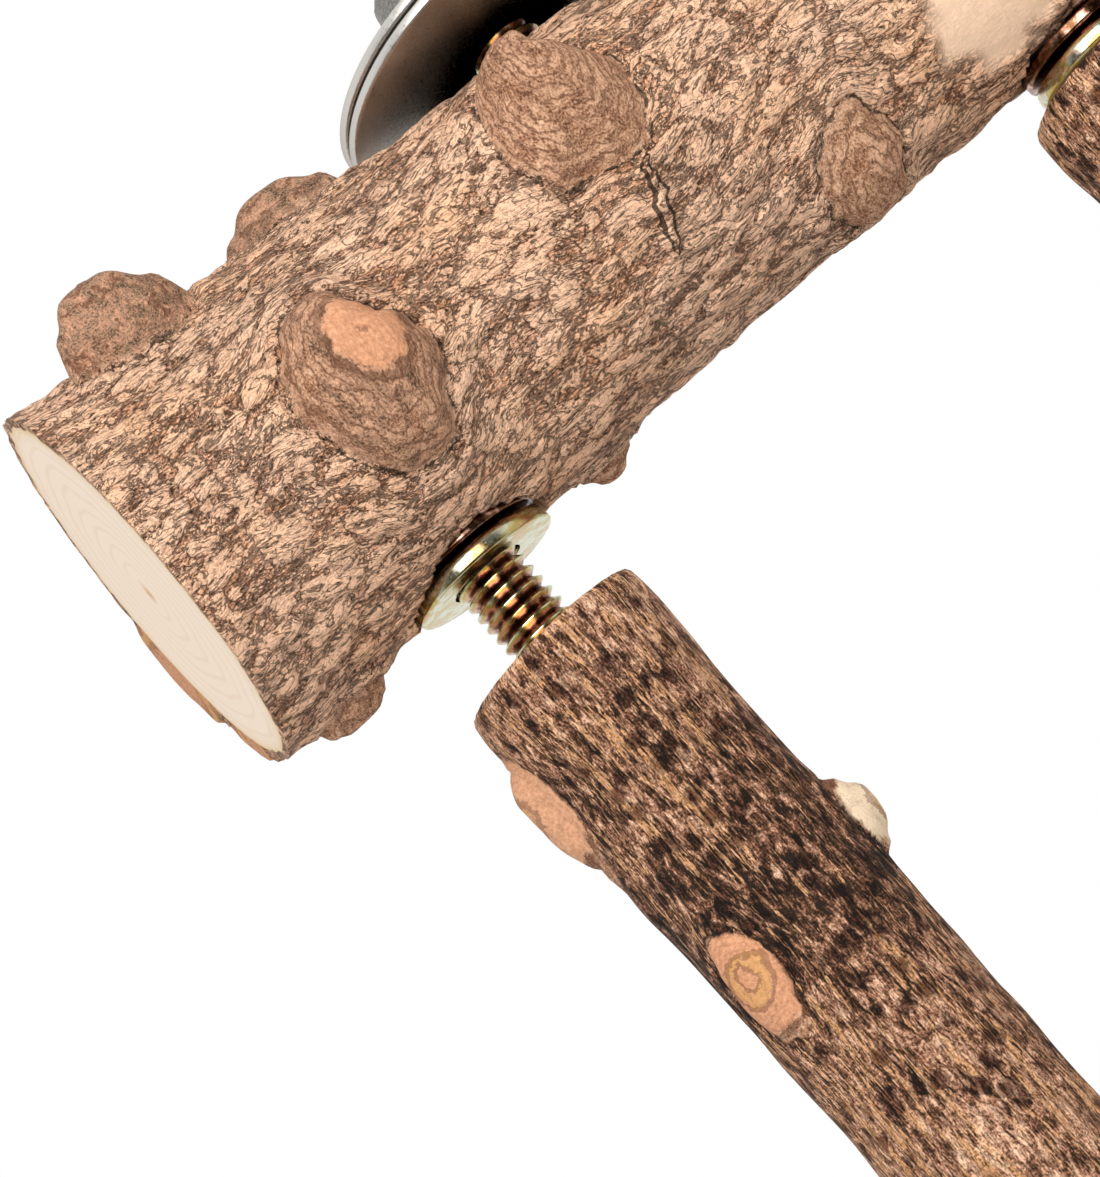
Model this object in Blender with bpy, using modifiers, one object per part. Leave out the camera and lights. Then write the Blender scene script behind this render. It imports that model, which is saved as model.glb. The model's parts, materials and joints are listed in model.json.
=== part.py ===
"""Natural-wood bird ladder: a knobby trunk, screw-in rungs and two clamps for a cage wall.

Lengths are in metres. +Z runs up the trunk and +Y points at the cage wall.
The origin is the centre of the upper clamp's inner washer, on the face that the cage wires bear on.
"""

import math

import bmesh
import bpy
from mathutils import Matrix, Vector

# Thread of the rung bolts and of the clamp studs
THREAD_RADIUS = 0.00395
THREAD_PITCH = 0.001411
THREAD_DEPTH = 0.00080

# Clearances
PIECE_GAP = 0.0003
HOLE_GAP = 0.0003

# Trunk, with stations measured down from its upper sawn end
RUNG_COUNT = 4
FIRST_RUNG_FROM_TOP = 0.027
RUNG_SPACING = 0.0835
LAST_RUNG_FROM_BOTTOM = 0.027
TRUNK_TOP_RADIUS = 0.0212
TRUNK_WAIST_RADIUS = 0.01775
TRUNK_BOTTOM_RADIUS = 0.0200
TRUNK_FLARE_LENGTH = 0.100
TRUNK_LIP_HEIGHT = 0.0012
TRUNK_LIP_LENGTH = 0.006
TRUNK_LIP_AZIMUTH = 66
TRUNK_LIP_SHARPNESS = 8
TRUNK_BEND = 0.00085
TRUNK_BEND_AZIMUTH = 66

# Rungs, which are branches; each list runs from the top rung down
RUNG_RADIUS = 0.0107
RUNG_ROOT_FLARE = 0.0004
RUNG_ROOT_LENGTH = 0.012
RUNG_LENGTH = 0.152
RUNG_SHORTENINGS = (0.002, 0.006, 0, 0.004)
RUNG_HEADINGS = (13, 11, 15, 12)
RUNG_STRAIGHT = 0.060
RUNG_BOW = 0.004
RUNG_BOW_ANGLES = (35, 160, 300, 80)
RUNG_END_ROUNDING = 0.0003
TOP_RUNG_BACKED_OFF = 0.0094

# Rung bolt: how far it stands out of the rung, and how deep it is set
BOLT_REACH = 0.0175
BOLT_DEPTH = 0.022

# Flanged insert nut in the trunk, and how deep each flange's back is sunk in the bark
INSERT_FLANGE_RADIUS = 0.0085
INSERT_FLANGE_THICKNESS = 0.0013
INSERT_SINKS = (0.0026, 0.0003, 0.0003, 0.0020)
INSERT_BODY_RADIUS = 0.0058
INSERT_BODY_LENGTH = 0.0115

# Rung washer, with a rounded edge towards the trunk
WASHER_RADIUS = 0.0085
WASHER_THICKNESS = 0.0022
WASHER_ROUNDING = 0.0012

# Cage clamps
UPPER_CLAMP_FROM_TOP = 0.0657
LOWER_CLAMP_FROM_BOTTOM = 0.065
CLAMP_FACE_FROM_AXIS = 0.0232
UPPER_CLAMP_OPENING = 0.0003
LOWER_CLAMP_OPENING = 0.0025
CLAMP_STUD_DEPTH = 0.016
CLAMP_STUD_TIP = 0.022
FENDER_RADIUS = 0.020
FENDER_THICKNESS = 0.0012
FENDER_CHAMFER = 0.0002

# Wing nut
NUT_BASE_RADIUS = 0.0090
NUT_TOP_RADIUS = 0.0072
NUT_HEIGHT = 0.0100
WING_REACH = 0.0180
WING_RISE = 0.0170
WING_THICKNESS = 0.0032

# Knobs of the trunk: from the top, azimuth in degrees, length, width and height
TRUNK_KNOBS = (
    (0.0138, 54, 0.0165, 0.0125, 0.0080),
    (0.0348, 74, 0.0132, 0.0100, 0.0046),
    (0.0335, -18, 0.0165, 0.0140, 0.0062),
    (0.0630, 14, 0.0160, 0.0150, 0.0068),
    (0.0830, -73, 0.0115, 0.0100, 0.0026),
    (0.0450, -132, 0.0075, 0.0070, 0.0022),
    (0.0085, -109, 0.0070, 0.0080, 0.0016),
    (0.0050, -160, 0.0070, 0.0110, 0.0014),
    (0.0850, 160, 0.0150, 0.0130, 0.0065),
    (0.1340, 42, 0.0150, 0.0130, 0.0072),
    (0.1480, -40, 0.0160, 0.0140, 0.0058),
    (0.1620, 175, 0.0130, 0.0120, 0.0070),
    (0.1950, -12, 0.0150, 0.0130, 0.0066),
    (0.2200, -148, 0.0120, 0.0110, 0.0040),
    (0.2480, 25, 0.0140, 0.0130, 0.0074),
    (0.2760, 130, 0.0140, 0.0120, 0.0062),
    (0.2840, -30, 0.0120, 0.0110, 0.0050),
)

# Knots of each rung: from its trunk end, angle in degrees, length, width and height
RUNG_KNOTS = (
    (
        (0.0130, 90, 0.0120, 0.0090, 0.0022),
        (0.0410, 51, 0.0110, 0.0075, 0.0012),
        (0.0330, -90, 0.0090, 0.0085, 0.0032),
    ),
    (
        (0.0300, 200, 0.0100, 0.0080, 0.0020),
        (0.0620, 70, 0.0110, 0.0080, 0.0016),
        (0.1040, -30, 0.0090, 0.0080, 0.0028),
    ),
    (
        (0.0210, 20, 0.0110, 0.0080, 0.0018),
        (0.0700, -110, 0.0100, 0.0085, 0.0030),
        (0.1150, 110, 0.0100, 0.0080, 0.0018),
    ),
    (
        (0.0380, 130, 0.0100, 0.0080, 0.0026),
        (0.0820, -20, 0.0110, 0.0080, 0.0016),
        (0.1220, 230, 0.0090, 0.0080, 0.0022),
    ),
)

# Fineness of the meshes
TRUNK_SEGMENTS, TRUNK_ROWS = 28, 16
RUNG_SEGMENTS, RUNG_ROWS = 16, 12
KNOB_SEGMENTS, KNOB_RINGS = 10, 8
KNOT_SEGMENTS, KNOT_RINGS = 10, 6
THREAD_STEPS, ROUND_STEPS, FENDER_STEPS = 12, 20, 28
WING_SEGMENTS = 16
MERGE_DISTANCE = 0.00001

# Sizes worked out from the ones above
TRUNK_LENGTH = FIRST_RUNG_FROM_TOP + (RUNG_COUNT - 1) * RUNG_SPACING + LAST_RUNG_FROM_BOTTOM
TRUNK_TOP_Z = UPPER_CLAMP_FROM_TOP
HOLE_RADIUS = THREAD_RADIUS + HOLE_GAP
CUTTER_REACH = 0.030


def clear_scene():
    for old in list(bpy.data.objects):
        bpy.data.objects.remove(old, do_unlink=True)


def new_collection(name):
    collection = bpy.data.collections.new(name)
    bpy.context.scene.collection.children.link(collection)
    return collection


def new_material(name, colour, roughness, metallic):
    material = bpy.data.materials.new(name)
    material.use_nodes = True
    shader = material.node_tree.nodes["Principled BSDF"]
    shader.inputs["Base Color"].default_value = (*colour, 1)
    shader.inputs["Roughness"].default_value = roughness
    shader.inputs["Metallic"].default_value = metallic
    return material


def new_object(name, mesh, collection, material=None):
    thing = bpy.data.objects.new(name, mesh)
    collection.objects.link(thing)
    if material:
        mesh.materials.append(material)
    else:
        thing.hide_render = True
        thing.display_type = "WIRE"
    return thing


def mesh_from(bm, name):
    mesh = bpy.data.meshes.new(name)
    bm.to_mesh(mesh)
    bm.free()
    mesh.shade_smooth()
    return mesh


def turned(name, profile, closed, steps, collection, material=None):
    """A turned piece about local Z. The profile is (radius, height) pairs that run down the outer side."""
    bm = bmesh.new()
    corners = [bm.verts.new((radius, 0, height)) for radius, height in profile]
    for start, end in zip(corners, corners[1:]):
        bm.edges.new((start, end))
    if closed:
        bm.edges.new((corners[-1], corners[0]))
    thing = new_object(name, mesh_from(bm, name), collection, material)
    screw = thing.modifiers.new("turn", "SCREW")
    screw.steps = steps
    screw.render_steps = steps
    screw.use_merge_vertices = True
    screw.merge_threshold = MERGE_DISTANCE
    return thing


def boolean(thing, other, operation):
    modifier = thing.modifiers.new(f"{operation.lower()} {other.name}", "BOOLEAN")
    modifier.operation = operation
    modifier.object = other


def threaded_profile(top, thread_top, bottom):
    """A stud from top to bottom: plain above thread_top, ringed with thread crests below it."""
    root = THREAD_RADIUS - THREAD_DEPTH
    profile = [(0, top), (THREAD_RADIUS, top), (THREAD_RADIUS, thread_top)]
    for turn in range(int((thread_top - bottom) / THREAD_PITCH)):
        crest = thread_top - (turn + 1) * THREAD_PITCH
        profile.append((root, crest + THREAD_PITCH / 2))
        profile.append((THREAD_RADIUS, crest))
    return profile + [(root, bottom), (0, bottom)]


def trunk_radius(from_top, azimuth):
    """Radius of the trunk: a slightly bent waist that flares to both sawn ends, with a lip at the top."""
    top_flare = max(0, 1 - from_top / TRUNK_FLARE_LENGTH) ** 2
    bottom_flare = max(0, 1 - (TRUNK_LENGTH - from_top) / TRUNK_FLARE_LENGTH) ** 2
    radius = TRUNK_WAIST_RADIUS
    radius += (TRUNK_TOP_RADIUS - TRUNK_WAIST_RADIUS) * top_flare
    radius += (TRUNK_BOTTOM_RADIUS - TRUNK_WAIST_RADIUS) * bottom_flare
    towards_bend = math.cos(azimuth - math.radians(TRUNK_BEND_AZIMUTH))
    radius += TRUNK_BEND * (1 - top_flare - bottom_flare) * towards_bend
    facing = max(0, math.cos(azimuth - math.radians(TRUNK_LIP_AZIMUTH))) ** TRUNK_LIP_SHARPNESS
    return radius + TRUNK_LIP_HEIGHT * facing * max(0, 1 - from_top / TRUNK_LIP_LENGTH)


def branch(name, length, segments, rows, shape, collection, material):
    """A branch along local Z from 0 to length, whose shape(height, azimuth) gives each point's x and y."""
    bm = bmesh.new()
    bmesh.ops.create_cone(bm, cap_ends=True, segments=segments, radius1=1, radius2=1, depth=length)
    bmesh.ops.translate(bm, verts=bm.verts, vec=(0, 0, length / 2))
    along = [edge for edge in bm.edges if abs(edge.verts[0].co.z - edge.verts[1].co.z) > length / 2]
    bmesh.ops.subdivide_edges(bm, edges=along, cuts=rows, use_grid_fill=True)
    for vertex in bm.verts:
        vertex.co.xy = shape(vertex.co.z, math.atan2(vertex.co.y, vertex.co.x))
    return new_object(name, mesh_from(bm, name), collection, material)


def knob(name, centre, out, along, size, segments, rings, collection):
    """A rounded knob: a stretched ball whose root is as deep as the knob is high."""
    length, width, height = size
    # A ball sunk by half its radius is narrower by this factor where it leaves the bark
    waist = math.sqrt(3) / 2
    axes = Matrix((out, along.cross(out), along)).transposed().to_4x4()
    scale = Matrix.Diagonal((2 * height, width / 2 / waist, length / 2 / waist, 1))
    bm = bmesh.new()
    bmesh.ops.create_uvsphere(bm, u_segments=segments, v_segments=rings, radius=1)
    bmesh.ops.transform(bm, verts=bm.verts, matrix=Matrix.Translation(centre - out * height) @ axes @ scale)
    return new_object(name, mesh_from(bm, name), collection)


def add_trunk(parts, cutters, material):
    def shape(height, azimuth):
        radius = trunk_radius(TRUNK_LENGTH - height, azimuth)
        return radius * math.cos(azimuth), radius * math.sin(azimuth)

    base = Vector((0, -CLAMP_FACE_FROM_AXIS, TRUNK_TOP_Z - TRUNK_LENGTH))
    trunk = branch("trunk", TRUNK_LENGTH, TRUNK_SEGMENTS, TRUNK_ROWS, shape, parts, material)
    trunk.location = base
    for number, (from_top, azimuth, *size) in enumerate(TRUNK_KNOBS, 1):
        azimuth = math.radians(azimuth)
        out = Vector((math.cos(azimuth), math.sin(azimuth), 0))
        centre = out * trunk_radius(from_top, azimuth) + Vector((0, 0, TRUNK_LENGTH - from_top))
        bump = knob(
            f"trunk_knob_{number}", centre, out, Vector((0, 0, 1)), size, KNOB_SEGMENTS, KNOB_RINGS, cutters
        )
        bump.parent = trunk
        boolean(trunk, bump, "UNION")
    return trunk


def station(name, from_top, heading, collection):
    """An empty on the trunk's axis whose local Z points out of the trunk and whose local Y points up."""
    empty = bpy.data.objects.new(name, None)
    collection.objects.link(empty)
    heading = math.radians(heading)
    out = Vector((math.cos(heading), math.sin(heading), 0))
    up = Vector((0, 0, 1))
    axes = Matrix((up.cross(out), up, out)).transposed().to_4x4()
    empty.matrix_world = Matrix.Translation((0, -CLAMP_FACE_FROM_AXIS, TRUNK_TOP_Z - from_top)) @ axes
    return empty


def place(thing, parent, distance):
    """Puts a piece on a station's axis, this far out from the trunk's axis."""
    thing.parent = parent
    thing.location = (0, 0, distance)
    return thing


def add_rung(index, trunk, parts, cutters, materials):
    number = index + 1
    from_top = FIRST_RUNG_FROM_TOP + index * RUNG_SPACING
    # The rungs point away from the wall, each turned a little towards -X
    heading = -90 - RUNG_HEADINGS[index]
    axis = station(f"rung_{number}_axis", from_top, heading, parts)
    flange_back = trunk_radius(from_top, math.radians(heading)) - INSERT_SINKS[index]
    flange_front = flange_back + INSERT_FLANGE_THICKNESS
    washer_back = flange_front + PIECE_GAP
    washer_front = washer_back + WASHER_THICKNESS
    rung_end = washer_front + PIECE_GAP
    if index == 0:
        rung_end += TOP_RUNG_BACKED_OFF

    # Pocket in the trunk: a wide step for the flange, then a bore that clears the bolt screwed home
    bolt_tip = washer_front + PIECE_GAP - BOLT_REACH - flange_back
    pocket_floor = min(-INSERT_BODY_LENGTH, bolt_tip) - PIECE_GAP
    pocket = turned(
        f"insert_pocket_{number}",
        (
            (0, CUTTER_REACH),
            (INSERT_FLANGE_RADIUS + PIECE_GAP, CUTTER_REACH),
            (INSERT_FLANGE_RADIUS + PIECE_GAP, -PIECE_GAP),
            (INSERT_BODY_RADIUS + PIECE_GAP, -PIECE_GAP),
            (INSERT_BODY_RADIUS + PIECE_GAP, pocket_floor),
            (0, pocket_floor),
        ),
        False, ROUND_STEPS, cutters,
    )
    place(pocket, axis, flange_back)
    boolean(trunk, pocket, "DIFFERENCE")

    # Insert nut, with its flange on the bark side
    insert = turned(
        f"insert_nut_{number}",
        (
            (HOLE_RADIUS, INSERT_FLANGE_THICKNESS),
            (INSERT_FLANGE_RADIUS, INSERT_FLANGE_THICKNESS),
            (INSERT_FLANGE_RADIUS, 0),
            (INSERT_BODY_RADIUS, 0),
            (INSERT_BODY_RADIUS, -INSERT_BODY_LENGTH),
            (HOLE_RADIUS, -INSERT_BODY_LENGTH),
        ),
        True, ROUND_STEPS, parts, materials["zinc"],
    )
    place(insert, axis, flange_back)

    # Washer, whose rounded edge faces the trunk
    flat_edge = WASHER_THICKNESS - WASHER_ROUNDING
    arc = [
        (
            WASHER_RADIUS - WASHER_ROUNDING * (1 - math.cos(math.radians(angle))),
            WASHER_THICKNESS - flat_edge - WASHER_ROUNDING * math.sin(math.radians(angle)),
        )
        for angle in (0, 30, 60, 90)
    ]
    washer = turned(
        f"rung_washer_{number}",
        ((HOLE_RADIUS, WASHER_THICKNESS), (WASHER_RADIUS, WASHER_THICKNESS), *arc, (HOLE_RADIUS, 0)),
        True, ROUND_STEPS, parts, materials["zinc"],
    )
    place(washer, axis, washer_back)

    # Rung, a branch with cut knots that bows a little towards its far end
    length = RUNG_LENGTH - RUNG_SHORTENINGS[index]

    def shape(height, angle):
        bow = RUNG_BOW * max(0, (height - RUNG_STRAIGHT) / (length - RUNG_STRAIGHT)) ** 2
        bow_angle = math.radians(RUNG_BOW_ANGLES[index])
        rounding = RUNG_END_ROUNDING if min(height, length - height) < RUNG_END_ROUNDING else 0
        radius = RUNG_RADIUS + RUNG_ROOT_FLARE * max(0, 1 - height / RUNG_ROOT_LENGTH) - rounding
        return (
            bow * math.cos(bow_angle) + radius * math.cos(angle),
            bow * math.sin(bow_angle) + radius * math.sin(angle),
        )

    rung = branch(f"rung_{number}", length, RUNG_SEGMENTS, RUNG_ROWS, shape, parts, materials["rung"])
    place(rung, axis, rung_end)
    for knot_number, (distance, angle, *size) in enumerate(RUNG_KNOTS[index], 1):
        angle = math.radians(angle)
        out = Vector((math.cos(angle), math.sin(angle), 0))
        centre = Vector((*shape(distance, angle), distance))
        name = f"rung_{number}_knot_{knot_number}"
        bump = knob(name, centre, out, Vector((0, 0, 1)), size, KNOT_SEGMENTS, KNOT_RINGS, cutters)
        bump.parent = rung
        boolean(rung, bump, "UNION")

    # Bore in the rung's end, and the bolt set into it
    depth = BOLT_DEPTH + PIECE_GAP
    bore = turned(
        f"rung_bore_{number}",
        ((0, depth), (HOLE_RADIUS, depth), (HOLE_RADIUS, -CUTTER_REACH), (0, -CUTTER_REACH)),
        False, THREAD_STEPS, cutters,
    )
    place(bore, axis, rung_end)
    boolean(rung, bore, "DIFFERENCE")
    bolt = turned(
        f"rung_bolt_{number}", threaded_profile(BOLT_DEPTH, 0, -BOLT_REACH),
        False, THREAD_STEPS, parts, materials["zinc"],
    )
    place(bolt, axis, rung_end)


def add_clamp(side, from_top, opening, trunk, parts, cutters, materials):
    axis = station(f"{side}_clamp_axis", from_top, 90, parts)
    bark = trunk_radius(from_top, math.radians(90))
    face = CLAMP_FACE_FROM_AXIS
    stud_end = bark - CLAMP_STUD_DEPTH

    bore = turned(
        f"{side}_stud_bore",
        (
            (0, CUTTER_REACH),
            (HOLE_RADIUS, CUTTER_REACH),
            (HOLE_RADIUS, stud_end - PIECE_GAP),
            (0, stud_end - PIECE_GAP),
        ),
        False, THREAD_STEPS, cutters,
    )
    place(bore, axis, 0)
    boolean(trunk, bore, "DIFFERENCE")

    # The stud's profile is turned end for end, so that its thread runs out of the bark to the tip
    tip = face + CLAMP_STUD_TIP
    profile = threaded_profile(-stud_end, -bark, -tip)
    stud = turned(
        f"{side}_clamp_stud", [(radius, -height) for radius, height in reversed(profile)],
        False, THREAD_STEPS, parts, materials["zinc"],
    )
    place(stud, axis, 0)

    # Fender washers, one on each side of the cage wires
    rim = FENDER_RADIUS - FENDER_CHAMFER
    profile = (
        (HOLE_RADIUS, FENDER_THICKNESS),
        (rim, FENDER_THICKNESS),
        (FENDER_RADIUS, FENDER_THICKNESS - FENDER_CHAMFER),
        (FENDER_RADIUS, FENDER_CHAMFER),
        (rim, 0),
        (HOLE_RADIUS, 0),
    )
    inner_back = face - FENDER_THICKNESS
    outer_back = face + opening
    for name, back in (("inner", inner_back), ("outer", outer_back)):
        washer = turned(f"{side}_{name}_clamp_washer", profile, True, FENDER_STEPS, parts, materials["steel"])
        place(washer, axis, back)

    # Wing nut: a tapered hub with two round ears, bored through
    nut = turned(
        f"{side}_wing_nut",
        ((0, NUT_HEIGHT), (NUT_TOP_RADIUS, NUT_HEIGHT), (NUT_BASE_RADIUS, 0), (0, 0)),
        False, ROUND_STEPS, parts, materials["cast"],
    )
    place(nut, axis, outer_back + FENDER_THICKNESS + PIECE_GAP)
    for ear_side in (-1, 1):
        ear = new_object(f"{side}_ear_{ear_side}", wing_mesh(ear_side), cutters)
        ear.parent = nut
        boolean(nut, ear, "UNION")
    hole = turned(
        f"{side}_nut_hole",
        ((0, CUTTER_REACH), (HOLE_RADIUS, CUTTER_REACH), (HOLE_RADIUS, -CUTTER_REACH), (0, -CUTTER_REACH)),
        False, THREAD_STEPS, cutters,
    )
    hole.parent = nut
    boolean(nut, hole, "DIFFERENCE")


def wing_mesh(ear_side):
    """One ear of the wing nut: an upright oval disc that grows out of the hub's side."""
    reach = WING_REACH - HOLE_RADIUS
    rise = WING_RISE - HOLE_RADIUS
    bm = bmesh.new()
    bmesh.ops.create_cone(
        bm, cap_ends=True, segments=WING_SEGMENTS, radius1=1, radius2=1, depth=WING_THICKNESS
    )
    bmesh.ops.rotate(bm, verts=bm.verts, matrix=Matrix.Rotation(math.pi / 2, 3, "X"))
    bmesh.ops.scale(bm, verts=bm.verts, vec=(reach / 2, 1, rise / 2))
    bmesh.ops.translate(
        bm, verts=bm.verts, vec=(ear_side * (HOLE_RADIUS + reach / 2), 0, HOLE_RADIUS + rise / 2)
    )
    return mesh_from(bm, "ear")


def main():
    clear_scene()
    parts = new_collection("bird_ladder")
    cutters = new_collection("cutters")
    materials = {
        "bark": new_material("trunk bark", (0.36, 0.22, 0.13), 0.85, 0),
        "rung": new_material("rung bark", (0.22, 0.13, 0.08), 0.85, 0),
        "zinc": new_material("yellow zinc", (0.68, 0.56, 0.32), 0.3, 1),
        "steel": new_material("tumbled steel", (0.45, 0.44, 0.43), 0.4, 1),
        "cast": new_material("cast steel", (0.40, 0.40, 0.40), 0.5, 1),
    }
    trunk = add_trunk(parts, cutters, materials["bark"])
    for index in range(RUNG_COUNT):
        add_rung(index, trunk, parts, cutters, materials)
    lower_from_top = TRUNK_LENGTH - LOWER_CLAMP_FROM_BOTTOM
    for side, from_top, opening in (
        ("upper", UPPER_CLAMP_FROM_TOP, UPPER_CLAMP_OPENING),
        ("lower", lower_from_top, LOWER_CLAMP_OPENING),
    ):
        add_clamp(side, from_top, opening, trunk, parts, cutters, materials)


main()
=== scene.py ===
"""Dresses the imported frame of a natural-wood bird ladder: bark, sawn ends, plated hardware, clamps and stage.

Lengths are in metres, in the frame's axes: +Z up the trunk, +Y towards the cage wall.
"""

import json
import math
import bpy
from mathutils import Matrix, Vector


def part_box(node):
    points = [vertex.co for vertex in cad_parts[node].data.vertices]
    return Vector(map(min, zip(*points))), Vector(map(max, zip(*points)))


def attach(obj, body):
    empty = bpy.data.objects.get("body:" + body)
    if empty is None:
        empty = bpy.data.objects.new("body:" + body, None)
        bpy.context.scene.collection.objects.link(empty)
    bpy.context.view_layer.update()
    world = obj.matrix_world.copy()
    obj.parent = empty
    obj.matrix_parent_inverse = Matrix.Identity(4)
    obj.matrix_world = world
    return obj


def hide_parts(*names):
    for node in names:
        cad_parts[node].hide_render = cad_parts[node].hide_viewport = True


bl_info = {
    "name": "Bird ladder",
    "version": (1, 0, 0),
    "blender": (4, 5, 0),
    "location": "View3D > Sidebar > Bird Ladder",
    "description": "Builds the visible pieces of a natural-wood bird ladder on its packed frame",
    "category": "Object",
}

from functools import partial
from typing import NamedTuple

import bmesh
import bpy
from bpy.props import FloatProperty, FloatVectorProperty, PointerProperty
from mathutils import Matrix, Vector, noise

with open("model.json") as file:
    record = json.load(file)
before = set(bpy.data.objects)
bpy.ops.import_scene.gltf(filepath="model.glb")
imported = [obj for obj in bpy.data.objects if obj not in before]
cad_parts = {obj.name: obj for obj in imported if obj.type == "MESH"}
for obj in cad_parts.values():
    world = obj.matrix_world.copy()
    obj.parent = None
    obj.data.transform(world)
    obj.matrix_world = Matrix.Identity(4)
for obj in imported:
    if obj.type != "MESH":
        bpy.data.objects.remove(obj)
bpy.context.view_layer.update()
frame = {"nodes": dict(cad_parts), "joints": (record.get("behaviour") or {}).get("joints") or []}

# Places taken from the frame
JOINTS = {joint["name"]: joint for joint in frame["joints"]}
RUNG_NUMBERS = (1, 2, 3, 4)
CLAMP_SIDES = ("upper", "lower")
TRUNK_LOW, TRUNK_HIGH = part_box("trunk")
TRUNK_LENGTH = TRUNK_HIGH.z - TRUNK_LOW.z
TRUNK_AXIS = Vector(JOINTS["rung_1_turn"]["pos_m"])
TRUNK_PLACE = Matrix.Translation((TRUNK_AXIS.x, TRUNK_AXIS.y, TRUNK_HIGH.z))
UP = Vector((0, 0, 1))

# Fineness of the meshes
TRUNK_SEGMENTS = 236
SEEN_LENGTH, SEEN_STEP, UNSEEN_STEP = 0.135, 0.0005, 0.0013
RUNG_SEGMENTS, RUNG_STEP = 140, 0.0006
TURNED_STEPS, THREAD_STEPS = 96, 48
MERGE_DISTANCE, THREAD_MERGE_DISTANCE = 0.000001, 0.00001

# Edges that turn by more radians than this are sharp: on the hardware, and where a saw cut meets the bark
SHARP_ANGLE = math.radians(40)
SAWN_ANGLE = 1.0

# Shares of a branch's radius: where its bark begins, and where the sapwood of a sawn end starts and ends
BARK_SHARE = 0.999
SAPWOOD_START, SAPWOOD_END = 0.90, 0.965

# Thickness of an insert nut's flange
FLANGE_THICKNESS = 0.0013

# A knob marks the bark within this share of its length, and down to this rise outside its edge
KNOB_REACH, LOWEST_RISE = 1.3, -1.8

# Size of the lumps on a knob, depth of the groove round its tip, and how far the grain turns round it
KNOB_LUMP, TIP_GROOVE, GRAIN_TURN = 0.0045, 0.0004, 0.40

# Settings of a Mix node for colours, whose inputs 0, 6 and 7 are the share and the two colours
COLOURS = {"data_type": "RGBA", "take": 2}

# Outputs of a Map Range node that falls
FALLING = {"To Min": 1.0, "To Max": 0.0}

# Offsets that give a noise three unlike components
DRIFT_SHIFTS = (Vector((0, 0, 0)), Vector((31.7, 11.3, 5.9)), Vector((7.1, 43.9, 19.3)))


class Knob(NamedTuple):
    """A knob that a side branch left: its place on the branch, its size and its look."""

    along: float
    angle: float
    length: float
    width: float
    height: float
    lean: float = 0.0
    drift: float = 0.0
    boxiness: float = 2.2
    uneven: float = 0.10
    layers: float = 5.0
    tip: float = 0.0
    fresh: float = 0.0
    grey: float = 0.4
    soft: float = 0.0


class Marks(NamedTuple):
    """What the knobs do to the bark at one point."""

    height: float
    flow: float
    rise: float = -1.0
    layer: float = 0.0
    tip: float = -1.0
    fresh: float = 0.0
    grey: float = 0.0


class Speck(NamedTuple):
    """Specks of a noise that is drawn out along the grain: their size and how broken and bent they are."""

    width: float
    length: float
    detail: float
    roughness: float
    distortion: float


# Knobs of the trunk: along is from the upper sawn end, and angle is the azimuth in degrees
TRUNK_KNOBS = (
    Knob(0.0142, 54, 0.0150, 0.0130, 0.0078, lean=-0.2, boxiness=3.2, layers=2, grey=0.9),
    Knob(0.0352, 74, 0.0148, 0.0118, 0.0050, layers=2, grey=0.9),
    Knob(
        0.0279, -15, 0.0140, 0.0186, 0.0060,
        lean=0.22, drift=0.16, boxiness=2.6, uneven=0.40, layers=9, tip=0.52, grey=0.65,
    ),
    Knob(
        0.0605, 14, 0.0148, 0.0180, 0.0080,
        lean=0.12, drift=0.28, boxiness=1.5, uneven=0.40, layers=12, grey=0.35,
    ),
    Knob(0.0808, -75, 0.0112, 0.0150, 0.0028, lean=0.2, uneven=0.40, layers=6, grey=0.2),
    Knob(0.0450, -128, 0.0075, 0.0080, 0.0032, layers=2, grey=0.3),
    Knob(0.0085, -112, 0.0085, 0.0090, 0.0030, boxiness=4.0, layers=2, grey=0.4),
    Knob(0.0040, 176, 0.0140, 0.0170, 0.0080, boxiness=3.0, layers=2, tip=1.5, grey=0.0),
    Knob(0.0035, -147, 0.0100, 0.0120, 0.0026, boxiness=3.0, layers=2, tip=1.5, grey=0.0),
    Knob(0.0850, 160, 0.0150, 0.0130, 0.0065, lean=0.2, tip=0.4, layers=5),
    Knob(0.1340, 42, 0.0150, 0.0130, 0.0072, lean=-0.2, layers=6, grey=0.2),
    Knob(0.1480, -40, 0.0160, 0.0140, 0.0058, lean=0.2, drift=0.1, tip=0.4, layers=4, grey=0.7),
    Knob(0.1620, 175, 0.0130, 0.0120, 0.0070, boxiness=3.0, layers=4),
    Knob(0.1950, -12, 0.0150, 0.0130, 0.0066, lean=0.2, boxiness=1.8, layers=6, grey=0.2),
    Knob(0.2200, -148, 0.0120, 0.0110, 0.0040, layers=4),
    Knob(0.2480, 25, 0.0140, 0.0130, 0.0074, lean=-0.2, boxiness=3.0, layers=3, grey=0.7),
    Knob(0.2760, 130, 0.0140, 0.0120, 0.0062, tip=0.4, layers=5),
    Knob(0.2840, -30, 0.0120, 0.0110, 0.0050, lean=0.1, layers=5, grey=0.3),
)

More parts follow.
